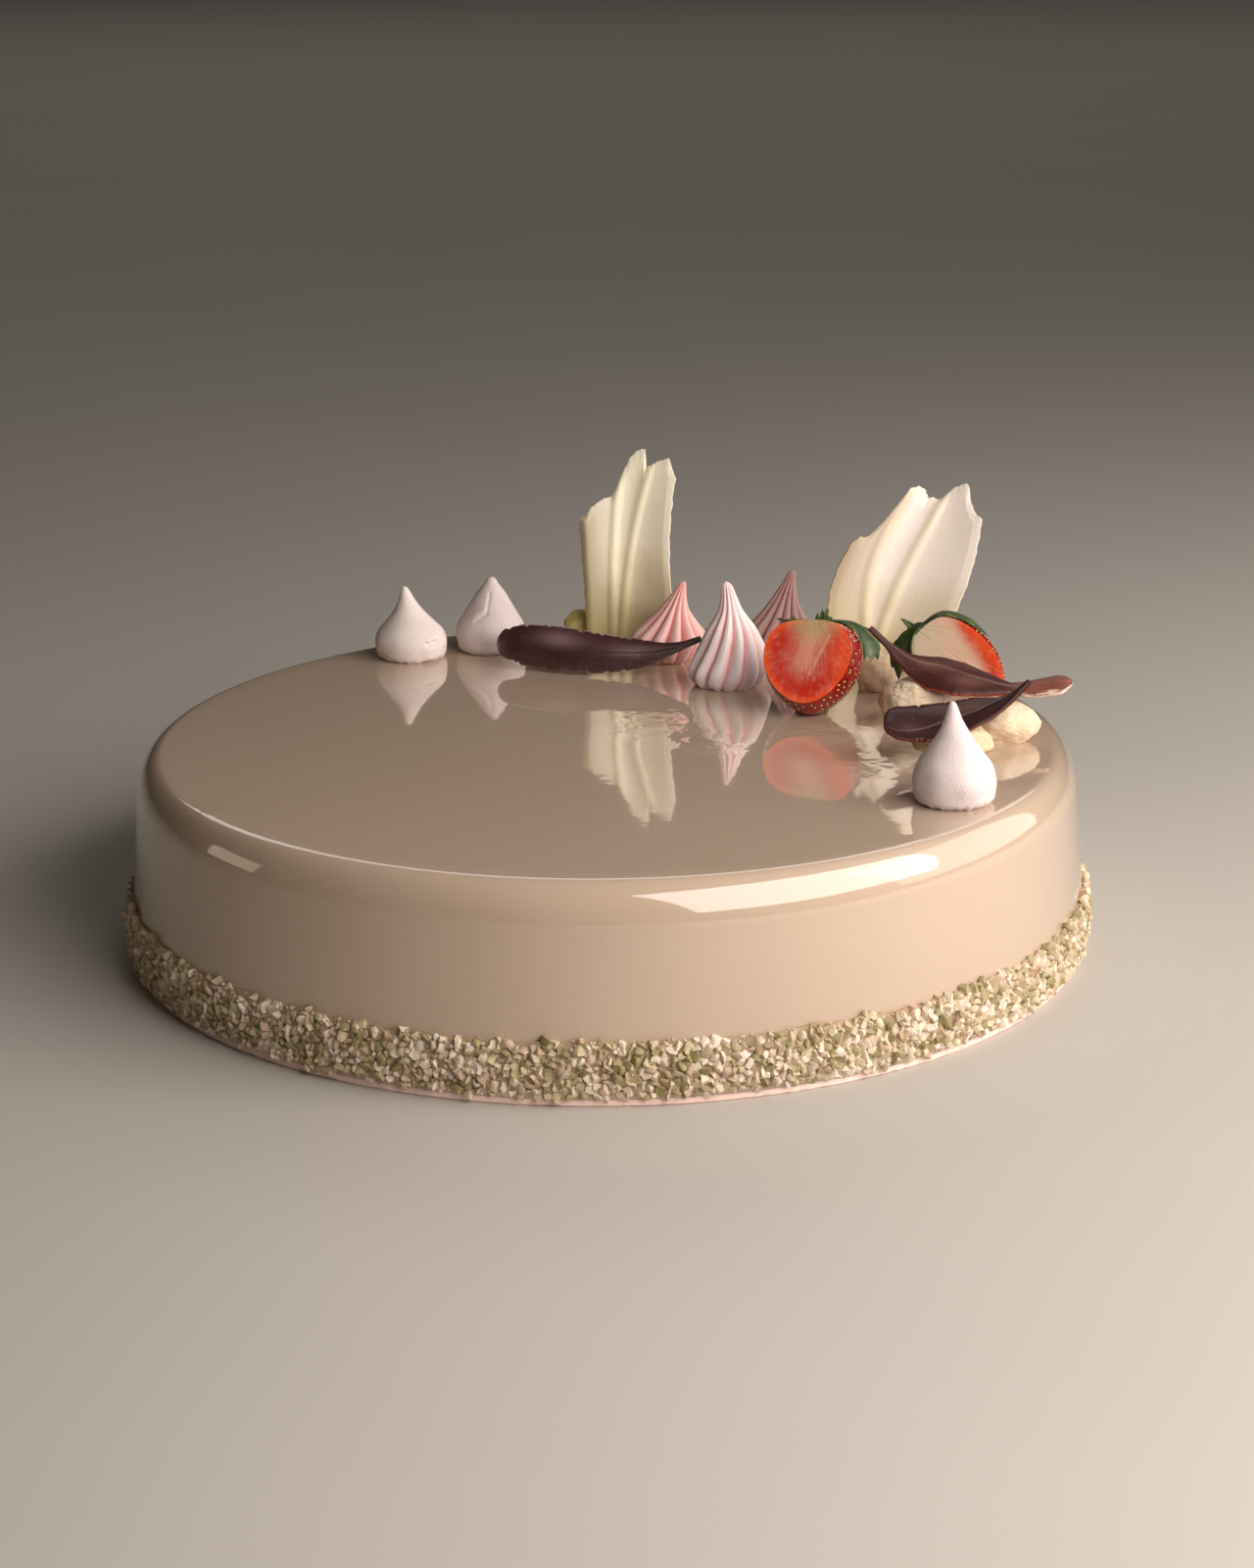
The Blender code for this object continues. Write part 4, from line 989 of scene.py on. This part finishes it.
        # The sheens are painted highlights on the vane.
        painted_sheen = sum(strength * math.exp(-((v - down_to) / long) ** 2 - ((side - beside) / wide) ** 2)
                    for down_to, beside, long, wide, strength in feather["painted_sheen"])
        return (middle + across * sideways + out * rise) * MM, inner, line, rim, lit_end_share, side, v, painted_sheen

    mesh = surface(feather["name"], finish, FEATHER_COLUMNS, FEATHER_ROWS, feather_spot,
                   ("inner", "line", "rim", "painted_lit_end", "side", "down", "painted_sheen"))
    mesh = solid_sheet(feather["name"], mesh, FEATHER_THICKNESS, FEATHER_EDGE)
    mesh.set_sharp_from_angle(angle=math.radians(60))
    piece = linked(feather["name"], mesh)
    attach(piece, "root")
    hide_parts(feather["node"])

# The strawberries. Two stand cut open to the front: moist flesh with a pale heart, a beige stem end and
# fine rays out to a red rim, and round it the glossy skin with a golden seed in each dimple. The
# seeds are laid on the skin by Geometry Nodes along a golden-angle spiral.
BERRY_DIMPLE = 1.8
BERRY_DIMPLE_WIDTH = 0.55
BERRY_SIDES = 144
BERRY_RINGS = 120
CUT_RINGS = 34
SEEDS = 400
SEED_TURN = math.pi * (3 - math.sqrt(5))
SEED_SIZE = (0.60, 0.95, 0.40)
SEED_WANDER = 0.35
SEED_HOLLOW = 0.42
SEED_HOLLOW_WIDTH = 0.8
SEED_CLEAR_OF_CUT = 0.7
SEED_SUNK = 0.18
SEEDS_FROM = 0.93
SEEDS_OVER = 1.88
PLACE_SIDES = 72
PLACE_RINGS = 60
# Each leaf has a length, how far it curls out and up, and how far one of its sides is tilted out. The cut
# face has a heart of streaks, each with its two ends, its width and its strength, a beige spot at the stem
# with its reach, and the two places between which it turns red, in shares of half its width and height
BERRIES = (
    {"name": "berry_left", "node": "strawberry_left", "calyx": "calyx_left", "leafage": "berry_leaves_left",
     "place": (57.0, 23.6), "width": 27.3, "height": 27.6, "depth": 25.0, "turn": -24, "lean": 27,
     "roll": -5, "point": 0.15, "shoulders": 2.4, "cut": 5.3, "span": (-0.05, 1.11),
     "leaves": ((19.5, 0.5, 0.0, 3.5), (12.5, 3.0, 3.5, 2.0), (9.4, 3.0, 19.0, 0.0), (8.8, 3.0, 12.0, 0.0),
                (8.8, 1.0, 6.0, 0.0)),
     "heart": (((0.20, 0.72), (-0.08, -0.20), 0.07, 0.55), ((0.46, 0.60), (0.10, -0.30), 0.055, 0.55),
               ((0.08, 0.55), (-0.05, 0.0), 0.34, 0.55)),
     "stem": ((0.12, 1.0), (0.85, 0.78)), "reddens": (-3.0, -2.0)},
    {"name": "berry_right", "node": "strawberry_right", "calyx": "calyx_right",
     "leafage": "berry_leaves_right",
     "place": (97.2, 22.6), "width": 21.0, "height": 31.2, "depth": 24.0, "turn": -18, "lean": 2,
     "roll": -42, "point": -0.09, "shoulders": 2.3, "cut": 0.8, "span": (-0.05, 1.12),
     "leaves": ((18.5, -0.3, 0.0, 0.5), (9.5, 0.8, 1.0, 0.0), (8.5, 1.0, 3.0, 0.0), (8.5, 3.0, 5.0, 0.0),
                (7.9, -13.0, 32.0, -3.0), (15.0, 3.0, 0.0, -5.0)),
     "heart": (((0.30, 0.85), (-0.10, -0.35), 0.20, 0.5),),
     "stem": ((-0.30, 0.95), (0.90, 1.2)), "reddens": (0.22, 0.74)},
)
FLESH_RED = (222, 42, 20)
FLESH_RIM_AND_LIT_SIDE = (255, 98, 44)
FLESH_DEEP = (194, 40, 26)
FLESH_HEART = (250, 194, 166)
FLESH_PALE = (246, 194, 168)
FLESH_BEIGE = (204, 172, 124)
FLESH_CREAM = (242, 220, 190)
FLESH_GREEN = (138, 128, 60)
SKIN_RED = (186, 20, 16)
SKIN_DEEP_AND_HOLLOW_SHADE = (120, 8, 14)
SEED_GOLD = (226, 168, 62)
SEED_PALE = (238, 204, 128)


def berry_point(spec, turn, drop, grow=0.0):
    """A point of a berry's skin: turn round its axis, drop from the stem (0) to the tip (pi)."""
    level = math.cos(drop)
    square = spec["shoulders"] if level > 0 else 2.0
    taper = 1.0 + spec["point"] * level - 0.10 * level ** 2
    dimple = -BERRY_DIMPLE * math.exp(-(drop / BERRY_DIMPLE_WIDTH) ** 2)
    radius = max(0.0, 1.0 - abs(level) ** square) ** (1.0 / square) * taper
    return Vector(((spec["width"] / 2 + grow) * radius * math.cos(turn),
                   (spec["depth"] / 2 + grow) * radius * math.sin(turn),
                   (spec["height"] / 2 + grow) * level + dimple))


def berry_place(spec):
    """Turn, lean and roll of a berry, set down so that its lowest point is on the glaze."""
    turn = (Matrix.Rotation(math.radians(spec["turn"]), 4, "Z")
            @ Matrix.Rotation(math.radians(-spec["lean"]), 4, "X")
            @ Matrix.Rotation(math.radians(spec["roll"]), 4, "Y"))
    samples = [berry_point(spec, 2 * math.pi * side / PLACE_SIDES, math.pi * ring / PLACE_RINGS)
               for side in range(PLACE_SIDES) for ring in range(PLACE_RINGS + 1)]
    lowest = min((turn @ Vector((point.x, max(point.y, -spec["cut"]), point.z))).z for point in samples)
    lift = TABLE / MM - lowest
    return Matrix.Scale(MM, 4) @ Matrix.Translation((*spec["place"], lift)) @ turn


def streak_share(streaks, spot):
    """How strongly a place on the cut lies in the pale streaks of the heart."""
    total = 0.0
    for start, end, width, strength in streaks:
        start = Vector(start)
        line = Vector(end) - start
        share = max(0.0, min(1.0, (spot - start).dot(line) / line.length_squared))
        total = max(total, strength * math.exp(-((spot - start - line * share).length / width) ** 2))
    return total


skin_finish, tree, shader = new_finish(
    "berry_skin", Roughness=0.26, Coat_Weight=0.7, Coat_Roughness=0.07, Subsurface_Weight=0.2,
    Subsurface_Radius=(1.0, 0.15, 0.1), Subsurface_Scale=2 * MM)
place = spots(tree)
hollow = trait(tree, "hollow")
# The skin is deeper red at random and painted darker in the hollows round the seeds, as painted shade.
cloud = plus(tree, speckle(tree, place, 120.0, 3.0), times(tree, hollow, -0.7))
paint(tree, shader, between(tree, cloud, tone(*SKIN_DEEP_AND_HOLLOW_SHADE), tone(*SKIN_RED)))
relief(tree, shader, speckle(tree, place, 700.0, 2.0), 0.05 * MM)

flesh_finish, tree, shader = new_finish(
    "cut_flesh", Roughness=0.36, Coat_Weight=0.2, Coat_Roughness=0.14, Subsurface_Weight=0.25,
    Subsurface_Radius=(1.0, 0.3, 0.2), Subsurface_Scale=2 * MM)
place = spots(tree)
traits = {label: trait(tree, label) for label in ("rim", "spoke", "heart", "stem", "right", "red")}
rays = joined_up(tree, X=times(tree, traits["spoke"], 44.0), Y=times(tree, traits["rim"], 1.6))
ray = swing(tree, speckle(tree, rays, 1.0, 3.0, 0.6), 0.5)
mottle = swing(tree, speckle(tree, place, 420.0, 4.0, 0.65), 0.3)
red = between(tree, plus(tree, times(tree, traits["rim"], 0.8), mottle),
              tone(*FLESH_DEEP), tone(*FLESH_RED))
edge = stretched(tree, traits["rim"], 0.80, 0.99)
# The right side of the cut turns to the rim's orange: partly the flesh's colour, partly painted light from
# the right.
red = between(tree, calc(tree, "MAXIMUM", edge, traits["right"]), red, tone(*FLESH_RIM_AND_LIT_SIDE))
veins = times(tree, calc(tree, "MAXIMUM", ray, 0.0), calc(tree, "SUBTRACT", 0.8, edge))
red = between(tree, veins, red, tone(*FLESH_HEART))
redness = plus(tree, traits["red"], plus(tree, times(tree, ray, 0.4), mottle))
fleshy = between(tree, redness, tone(*FLESH_PALE), red)
marbled = times(tree, plus(tree, mottle, ray), 1.6)
cream = between(tree, plus(tree, 0.55, marbled), tone(*FLESH_PALE), tone(*FLESH_CREAM))
open_flesh = between(tree, redness, cream, fleshy)
heart = times(tree, traits["heart"], plus(tree, times(tree, ray, 1.2), 1.0))
hearted = between(tree, heart, open_flesh, tone(*FLESH_HEART))
top = plus(tree, traits["stem"], times(tree, traits["stem"], plus(tree, mottle, ray)))
beige = between(tree, traits["red"], tone(*FLESH_CREAM), tone(*FLESH_BEIGE))
topped = between(tree, top, hearted, beige)
strand = times(tree, calc(tree, "MAXIMUM", times(tree, ray, 3.0), 0.0), traits["stem"])
paint(tree, shader, between(tree, strand, topped, tone(*FLESH_GREEN)))
relief(tree, shader, plus(tree, ray, mottle), 0.2 * MM)

seed_finish, tree, shader = new_finish("berry_seed", Roughness=0.4, Coat_Weight=0.3)
cloud = speckle(tree, spots(tree), 900.0)
paint(tree, shader, between(tree, cloud, tone(*SEED_GOLD), tone(*SEED_PALE)))

seed_tree, asked, result = new_tree("berry_seeds", ("Seed Size", "Vector"))
out = wire(seed_tree, "GeometryNodeInputNamedAttribute", {"Name": "out"}, data_type="FLOAT_VECTOR").outputs[0]
lay = wire(seed_tree, "FunctionNodeAlignRotationToVector", {"Vector": out}, axis="Z").outputs[0]
grain = wire(seed_tree, "GeometryNodeMeshIcoSphere", {"Radius": 0.5, "Subdivisions": 1})
laid = wire(seed_tree, "GeometryNodeInstanceOnPoints",
            {"Points": asked["Geometry"], "Instance": grain.outputs[0], "Rotation": lay,
             "Scale": asked["Seed Size"]}).outputs[0]
smooth = wire(seed_tree, "GeometryNodeSetShadeSmooth", {"Geometry": laid}).outputs[0]
close_tree(seed_tree, smooth, asked, result)


def sliced(bm, point, away, kind):
    """Cuts off what lies beyond a plane, and gives what of this kind lies on the cut."""
    everything = bm.verts[:] + bm.edges[:] + bm.faces[:]
    cut = bmesh.ops.bisect_plane(bm, geom=everything, dist=1e-5, plane_co=point, plane_no=away,
                                 clear_outer=True)
    return [item for item in cut["geom_cut"] if isinstance(item, kind)]


def seeds_of(berry):
    """The spots of a berry's seeds along a golden-angle spiral, each with its way out of the skin."""
    seeds = []
    draw = random.Random(berry["name"])
    for index in range(SEEDS):
        wander = draw.uniform(-SEED_WANDER, SEED_WANDER)
        drop = math.acos(SEEDS_FROM - SEEDS_OVER * (index + 0.5) / SEEDS) + 0.08 * wander
        turn = (index * SEED_TURN + 0.2 * wander) % (2 * math.pi)
        spot = berry_point(berry, turn, drop)
        if spot.y > SEED_CLEAR_OF_CUT - berry["cut"]:
            seeds.append((spot, spot - berry_point(berry, turn, drop, -1.0)))
    return seeds


def press_skin(bm, berry, seeds, hollow):
    """Gives a ball the berry's shape, with a hollow round each seed."""
    near = kdtree.KDTree(len(seeds))
    for index, (spot, _) in enumerate(seeds):
        near.insert(spot, index)
    near.balance()
    for vert in bm.verts:
        drop = math.acos(max(-1.0, min(1.0, vert.co.z)))
        turn = math.atan2(vert.co.y, vert.co.x)
        vert[hollow] = math.exp(-(near.find(berry_point(berry, turn, drop))[2] / SEED_HOLLOW_WIDTH) ** 2)
        vert.co = berry_point(berry, turn, drop, -SEED_HOLLOW * vert[hollow])


for berry in BERRIES:
    seeds = seeds_of(berry)
    bm = bmesh.new()
    bmesh.ops.create_uvsphere(bm, u_segments=BERRY_SIDES, v_segments=BERRY_RINGS, radius=1.0)
    layers = {label: bm.verts.layers.float.new(label)
              for label in ("rim", "spoke", "heart", "stem", "right", "red", "hollow")}
    press_skin(bm, berry, seeds, layers["hollow"])
    slice_at = Vector((0.0, -berry["cut"], 0.0))
    loop = sliced(bm, slice_at, (0.0, -1.0, 0.0), bmesh.types.BMVert)
    low, high = min(vert.co.z for vert in loop), max(vert.co.z for vert in loop)
    centre = slice_at + Vector((0.0, 0.0, (low + high) / 2))
    half_size = Vector((max(abs(vert.co.x) for vert in loop), (high - low) / 2))
    loop.sort(key=lambda vert: math.atan2(vert.co.z - centre.z, vert.co.x - centre.x))
    ring = loop
    for step in range(1, CUT_RINGS):
        share = 1 - step / CUT_RINGS
        inward = [bm.verts.new(centre + (vert.co - centre) * share) for vert in loop]
        for index, vert in enumerate(inward):
            after = (index + 1) % len(loop)
            face = bm.faces.new((ring[index], ring[after], inward[after], vert))
            face.material_index = 1
            vert[layers["rim"]] = share
        ring = inward
    hub = bm.verts.new(centre)
    for index, vert in enumerate(ring):
        bm.faces.new((vert, ring[(index + 1) % len(ring)], hub)).material_index = 1
    for vert in loop:
        vert[layers["rim"]] = 1.0
    bmesh.ops.recalc_face_normals(bm, faces=bm.faces)
    stem_spot, stem_reach = Vector(berry["stem"][0]), berry["stem"][1]
    pale_until, red_from = berry["reddens"]
    for vert in bm.verts:
        flat = Vector((vert.co.x / half_size.x, (vert.co.z - centre.z) / half_size.y))
        off_stem = Vector(((flat.x - stem_spot.x) / stem_reach[0], (flat.y - stem_spot.y) / stem_reach[1]))
        fan = flat - Vector((stem_spot.x, stem_spot.y + 0.2))
        vert[layers["spoke"]] = math.atan2(fan.x, -fan.y) / math.pi * 2
        vert[layers["heart"]] = streak_share(berry["heart"], flat)
        vert[layers["stem"]] = eased(1.15 * (1.0 - off_stem.length))
        # the right side of the cut, painted lighter orange: partly the flesh's colour, partly painted light
        vert[layers["right"]] = 0.8 * eased((flat.x - 0.35) / 0.5) * eased(1.1 - abs(flat.y - 0.1))
        vert[layers["red"]] = eased((flat.x - 0.15 * flat.y - pale_until) / (red_from - pale_until))
    mesh = mesh_from(bm, berry["name"], skin_finish, flesh_finish)
    mesh.set_sharp_from_angle(angle=math.radians(55))
    mesh.transform(berry_place(berry))
    half = linked(berry["name"], mesh)
    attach(half, "root")
    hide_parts(berry["node"])

    dots = bpy.data.meshes.new("seed_places")
    dots.from_pydata([spot - out.normalized() * SEED_SUNK for spot, out in seeds], [], [])
    ways = dots.attributes.new("out", "FLOAT_VECTOR", "POINT")
    for index, (_, out) in enumerate(seeds):
        ways.data[index].vector = out
    mesh = grown(berry["name"] + "_seeds", dots, seed_tree, {"Seed Size": SEED_SIZE, "Finish": seed_finish})
    mesh.transform(berry_place(berry))
    grains = linked(berry["name"] + "_seeds", mesh)
    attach(grains, "root")

# The berries' leaves. A star of small dark leaves that grows from the stem and lies over the berry's
# shoulder behind the cut. The leaves are ragged, striped along their veins and curled at the tips.
CALYX_GAP = 0.5
CALYX_VALLEY = 5.0
CALYX_CURL_LENGTH = 8.0
LEAF_THICKNESS = 0.5 * MM
LEAF_EDGE_SHARE = 0.5
LEAF_COLUMNS = 26
LEAF_ROWS = 32
LEAF_WAVE = 0.45
LEAF_BLUNTNESS = 0.55
LEAF_TILT = 2.4
LEAF_RAG = 0.22
LEAF_START = 0.05
LEAF_MIDDLE_RISE = 0.3
LEAF_STRIPES = 5
LEAF_DARK = (34, 50, 26)
LEAF_MID = (68, 86, 42)
LEAF_EDGE = (150, 148, 92)

leaf_finish, tree, shader = new_finish(
    "berry_leaf", Roughness=0.5, Subsurface_Weight=0.15, Subsurface_Radius=(0.5, 1.0, 0.2),
    Subsurface_Scale=1 * MM)
vein = trait(tree, "vein")
cloud = swing(tree, speckle(tree, spots(tree), 420.0, 3.0, 0.6), 0.6)
green = ramp(tree, plus(tree, vein, cloud), (0.0, tone(*LEAF_DARK)), (0.55, tone(*LEAF_MID)),
             (1.0, tone(*LEAF_EDGE)))
paint(tree, shader, green)
relief(tree, shader, vein, 0.25 * MM)

for berry in BERRIES:
    leaves = berry["leaves"]
    size = (berry["width"] + berry["height"]) / 4
    on_torte = berry_place(berry)
    first, last = berry["span"]

    def leaf_spot(u, v):
        along = u * len(leaves)
        leaf = min(int(along), len(leaves) - 1)
        across = 2 * (along - leaf) - 1
        length, curl_out, curl_up, tilt = leaves[leaf]
        ragged = 1 + LEAF_RAG * noise.noise(Vector((u * 60, v * 4, size)))
        reach = CALYX_VALLEY + (length * ragged - CALYX_VALLEY) * (1 - abs(across)) ** LEAF_BLUNTNESS
        drop = LEAF_START + reach * v / size
        turn = math.pi * (first + (last - first) * u)
        curl = (max(0.0, reach * v - CALYX_VALLEY) / CALYX_CURL_LENGTH) ** 1.5
        wave = LEAF_WAVE * noise.noise(Vector((u * 14, v * 3, size))) * v
        grow = CALYX_GAP + curl_out * curl + wave + LEAF_MIDDLE_RISE * (1 + v * (1 - abs(across)) ** 2)
        grow = max(CALYX_GAP, grow + LEAF_TILT * tilt * across * (1 - across ** 2) * v)
        stripes = 0.5 + 0.5 * math.cos(across * LEAF_STRIPES * math.pi)
        inner = min(1.0, (1 - v) / 0.15, (1 - abs(across)) / 0.2 + (1 - v))
        vein_share = 0.2 + 0.5 * stripes * v + 0.3 * abs(across) ** 6
        spot = berry_point(berry, turn, drop, grow) + Vector((0.0, 0.0, curl_up * curl))
        return on_torte @ spot, inner, vein_share

    mesh = surface(berry["leafage"], leaf_finish, LEAF_COLUMNS * len(leaves), LEAF_ROWS, leaf_spot,
                   ("inner", "vein"))
    mesh = solid_sheet(berry["leafage"], mesh, LEAF_THICKNESS, LEAF_EDGE_SHARE)
    star = linked(berry["leafage"], mesh)
    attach(star, "root")
    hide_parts(berry["calyx"])

# The cream pieces. Pale bits broken from a slab of aerated white chocolate, rough and lumpy all over,
# tucked between the berries and the feathers. The broken faces are pitted.
CHUNK_LUMPS = 1.7
CHUNK_BUMP = 0.16
CHUNK_SUNK = 0.75
CRAG_SIZE = 3.6
CRAG_BUMP = 0.045
CRACK_SIZE = 2.4
CRACK_WIDTH = 0.035
CRACK_BUMP = 0.025
PIT_SIZE = 13.0
PIT_BUMP = 0.03
# name, node, middle, widths, height, fineness, its pale colour, its colour in cracks and on its left side,
# which is painted shade in the cracks and a painted red reflection of the berry on the left side
CHUNKS = (
    ("chunk_middle", "cream_piece_middle", (84.1, 9.0), (20.0, 16.6), 13.4, 6,
     (226, 205, 174), (204, 148, 118)),
    ("chunk_right", "cream_piece_right", (106.4, -7.2), (19.0, 12.0), 10.6, 6,
     (232, 208, 176), (212, 172, 132)),
    ("chunk_front", "cream_piece_front", (91.6, -19.5), (20.5, 13.0), 8.8, 6,
     (225, 198, 160), (208, 166, 118)),
    ("chunk_shaded", "cream_piece_shaded", (76.6, 45.6), (12.0, 12.0), 11.0, 5,
     (232, 204, 168), (206, 158, 130)),
    ("chunk_back", "cream_piece_back", (-6.4, 105.5), (12.0, 8.5), 9.5, 5,
     (214, 198, 128), (196, 172, 96)),
)

for name, node, middle, widths, height, fineness, pale, shade_and_reflection_tone in CHUNKS:
    finish, tree, shader = new_finish(
        name + "_chocolate", Roughness=0.6, Subsurface_Weight=0.3, Subsurface_Radius=(1.0, 0.8, 0.5),
        Subsurface_Scale=2 * MM)
    place = spots(tree)
    # The darker colour goes where cracks hold painted shade and where the left side holds a painted
    # reflection.
    crack_shade_and_red_reflection = trait(tree, "crack_shade_and_red_reflection")
    share = plus(tree, crack_shade_and_red_reflection, swing(tree, speckle(tree, place, 190.0, 3.0, 0.6), 0.5))
    paint(tree, shader, ramp(tree, share, (0.05, tone(*pale)), (0.85, tone(*shade_and_reflection_tone))))
    relief(tree, shader, speckle(tree, place, 700.0, 4.0, 0.65), 0.3 * MM)

    bm = bmesh.new()
    bmesh.ops.create_icosphere(bm, subdivisions=fineness, radius=1.0)
    crack_shade_and_red_reflection = bm.verts.layers.float.new("crack_shade_and_red_reflection")
    own = Vector((*middle, 0.0))
    tall = height / (1 + CHUNK_SUNK)
    for vert in bm.verts:
        way = vert.co.copy()
        lumps = CHUNK_BUMP * noise.noise(way * CHUNK_LUMPS + own)
        lumps += CRAG_BUMP * noise.noise(way * CRAG_SIZE + own)
        crack = math.exp(-(noise.noise(way * CRACK_SIZE - own) / CRACK_WIDTH) ** 2)
        # Cracks are painted darker, as painted shade, and the left side warmer, as a painted reflection of
        # the red berry.
        vert[crack_shade_and_red_reflection] = 0.25 * crack + 1.2 * max(0.0, -way.x - 0.5)
        way *= 1.0 + lumps - CRACK_BUMP * crack - PIT_BUMP * abs(noise.noise(way * PIT_SIZE + own))
        vert.co = Vector((way.x * widths[0] / 2, way.y * widths[1] / 2, way.z * tall))
    sunk = Vector((0.0, 0.0, -CHUNK_SUNK * tall))
    bmesh.ops.edgeloop_fill(bm, edges=sliced(bm, sunk, (0.0, 0.0, -1.0), bmesh.types.BMEdge))
    bmesh.ops.recalc_face_normals(bm, faces=bm.faces)
    mesh = mesh_from(bm, name, finish)
    mesh.set_sharp_from_angle(angle=math.radians(60))
    mesh.transform(Matrix.Translation((middle[0] * MM, middle[1] * MM, TABLE)) @ Matrix.Scale(MM, 4)
                   @ Matrix.Translation(-sunk))
    chunk = linked(name, mesh)
    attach(chunk, "root")
    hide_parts(node)
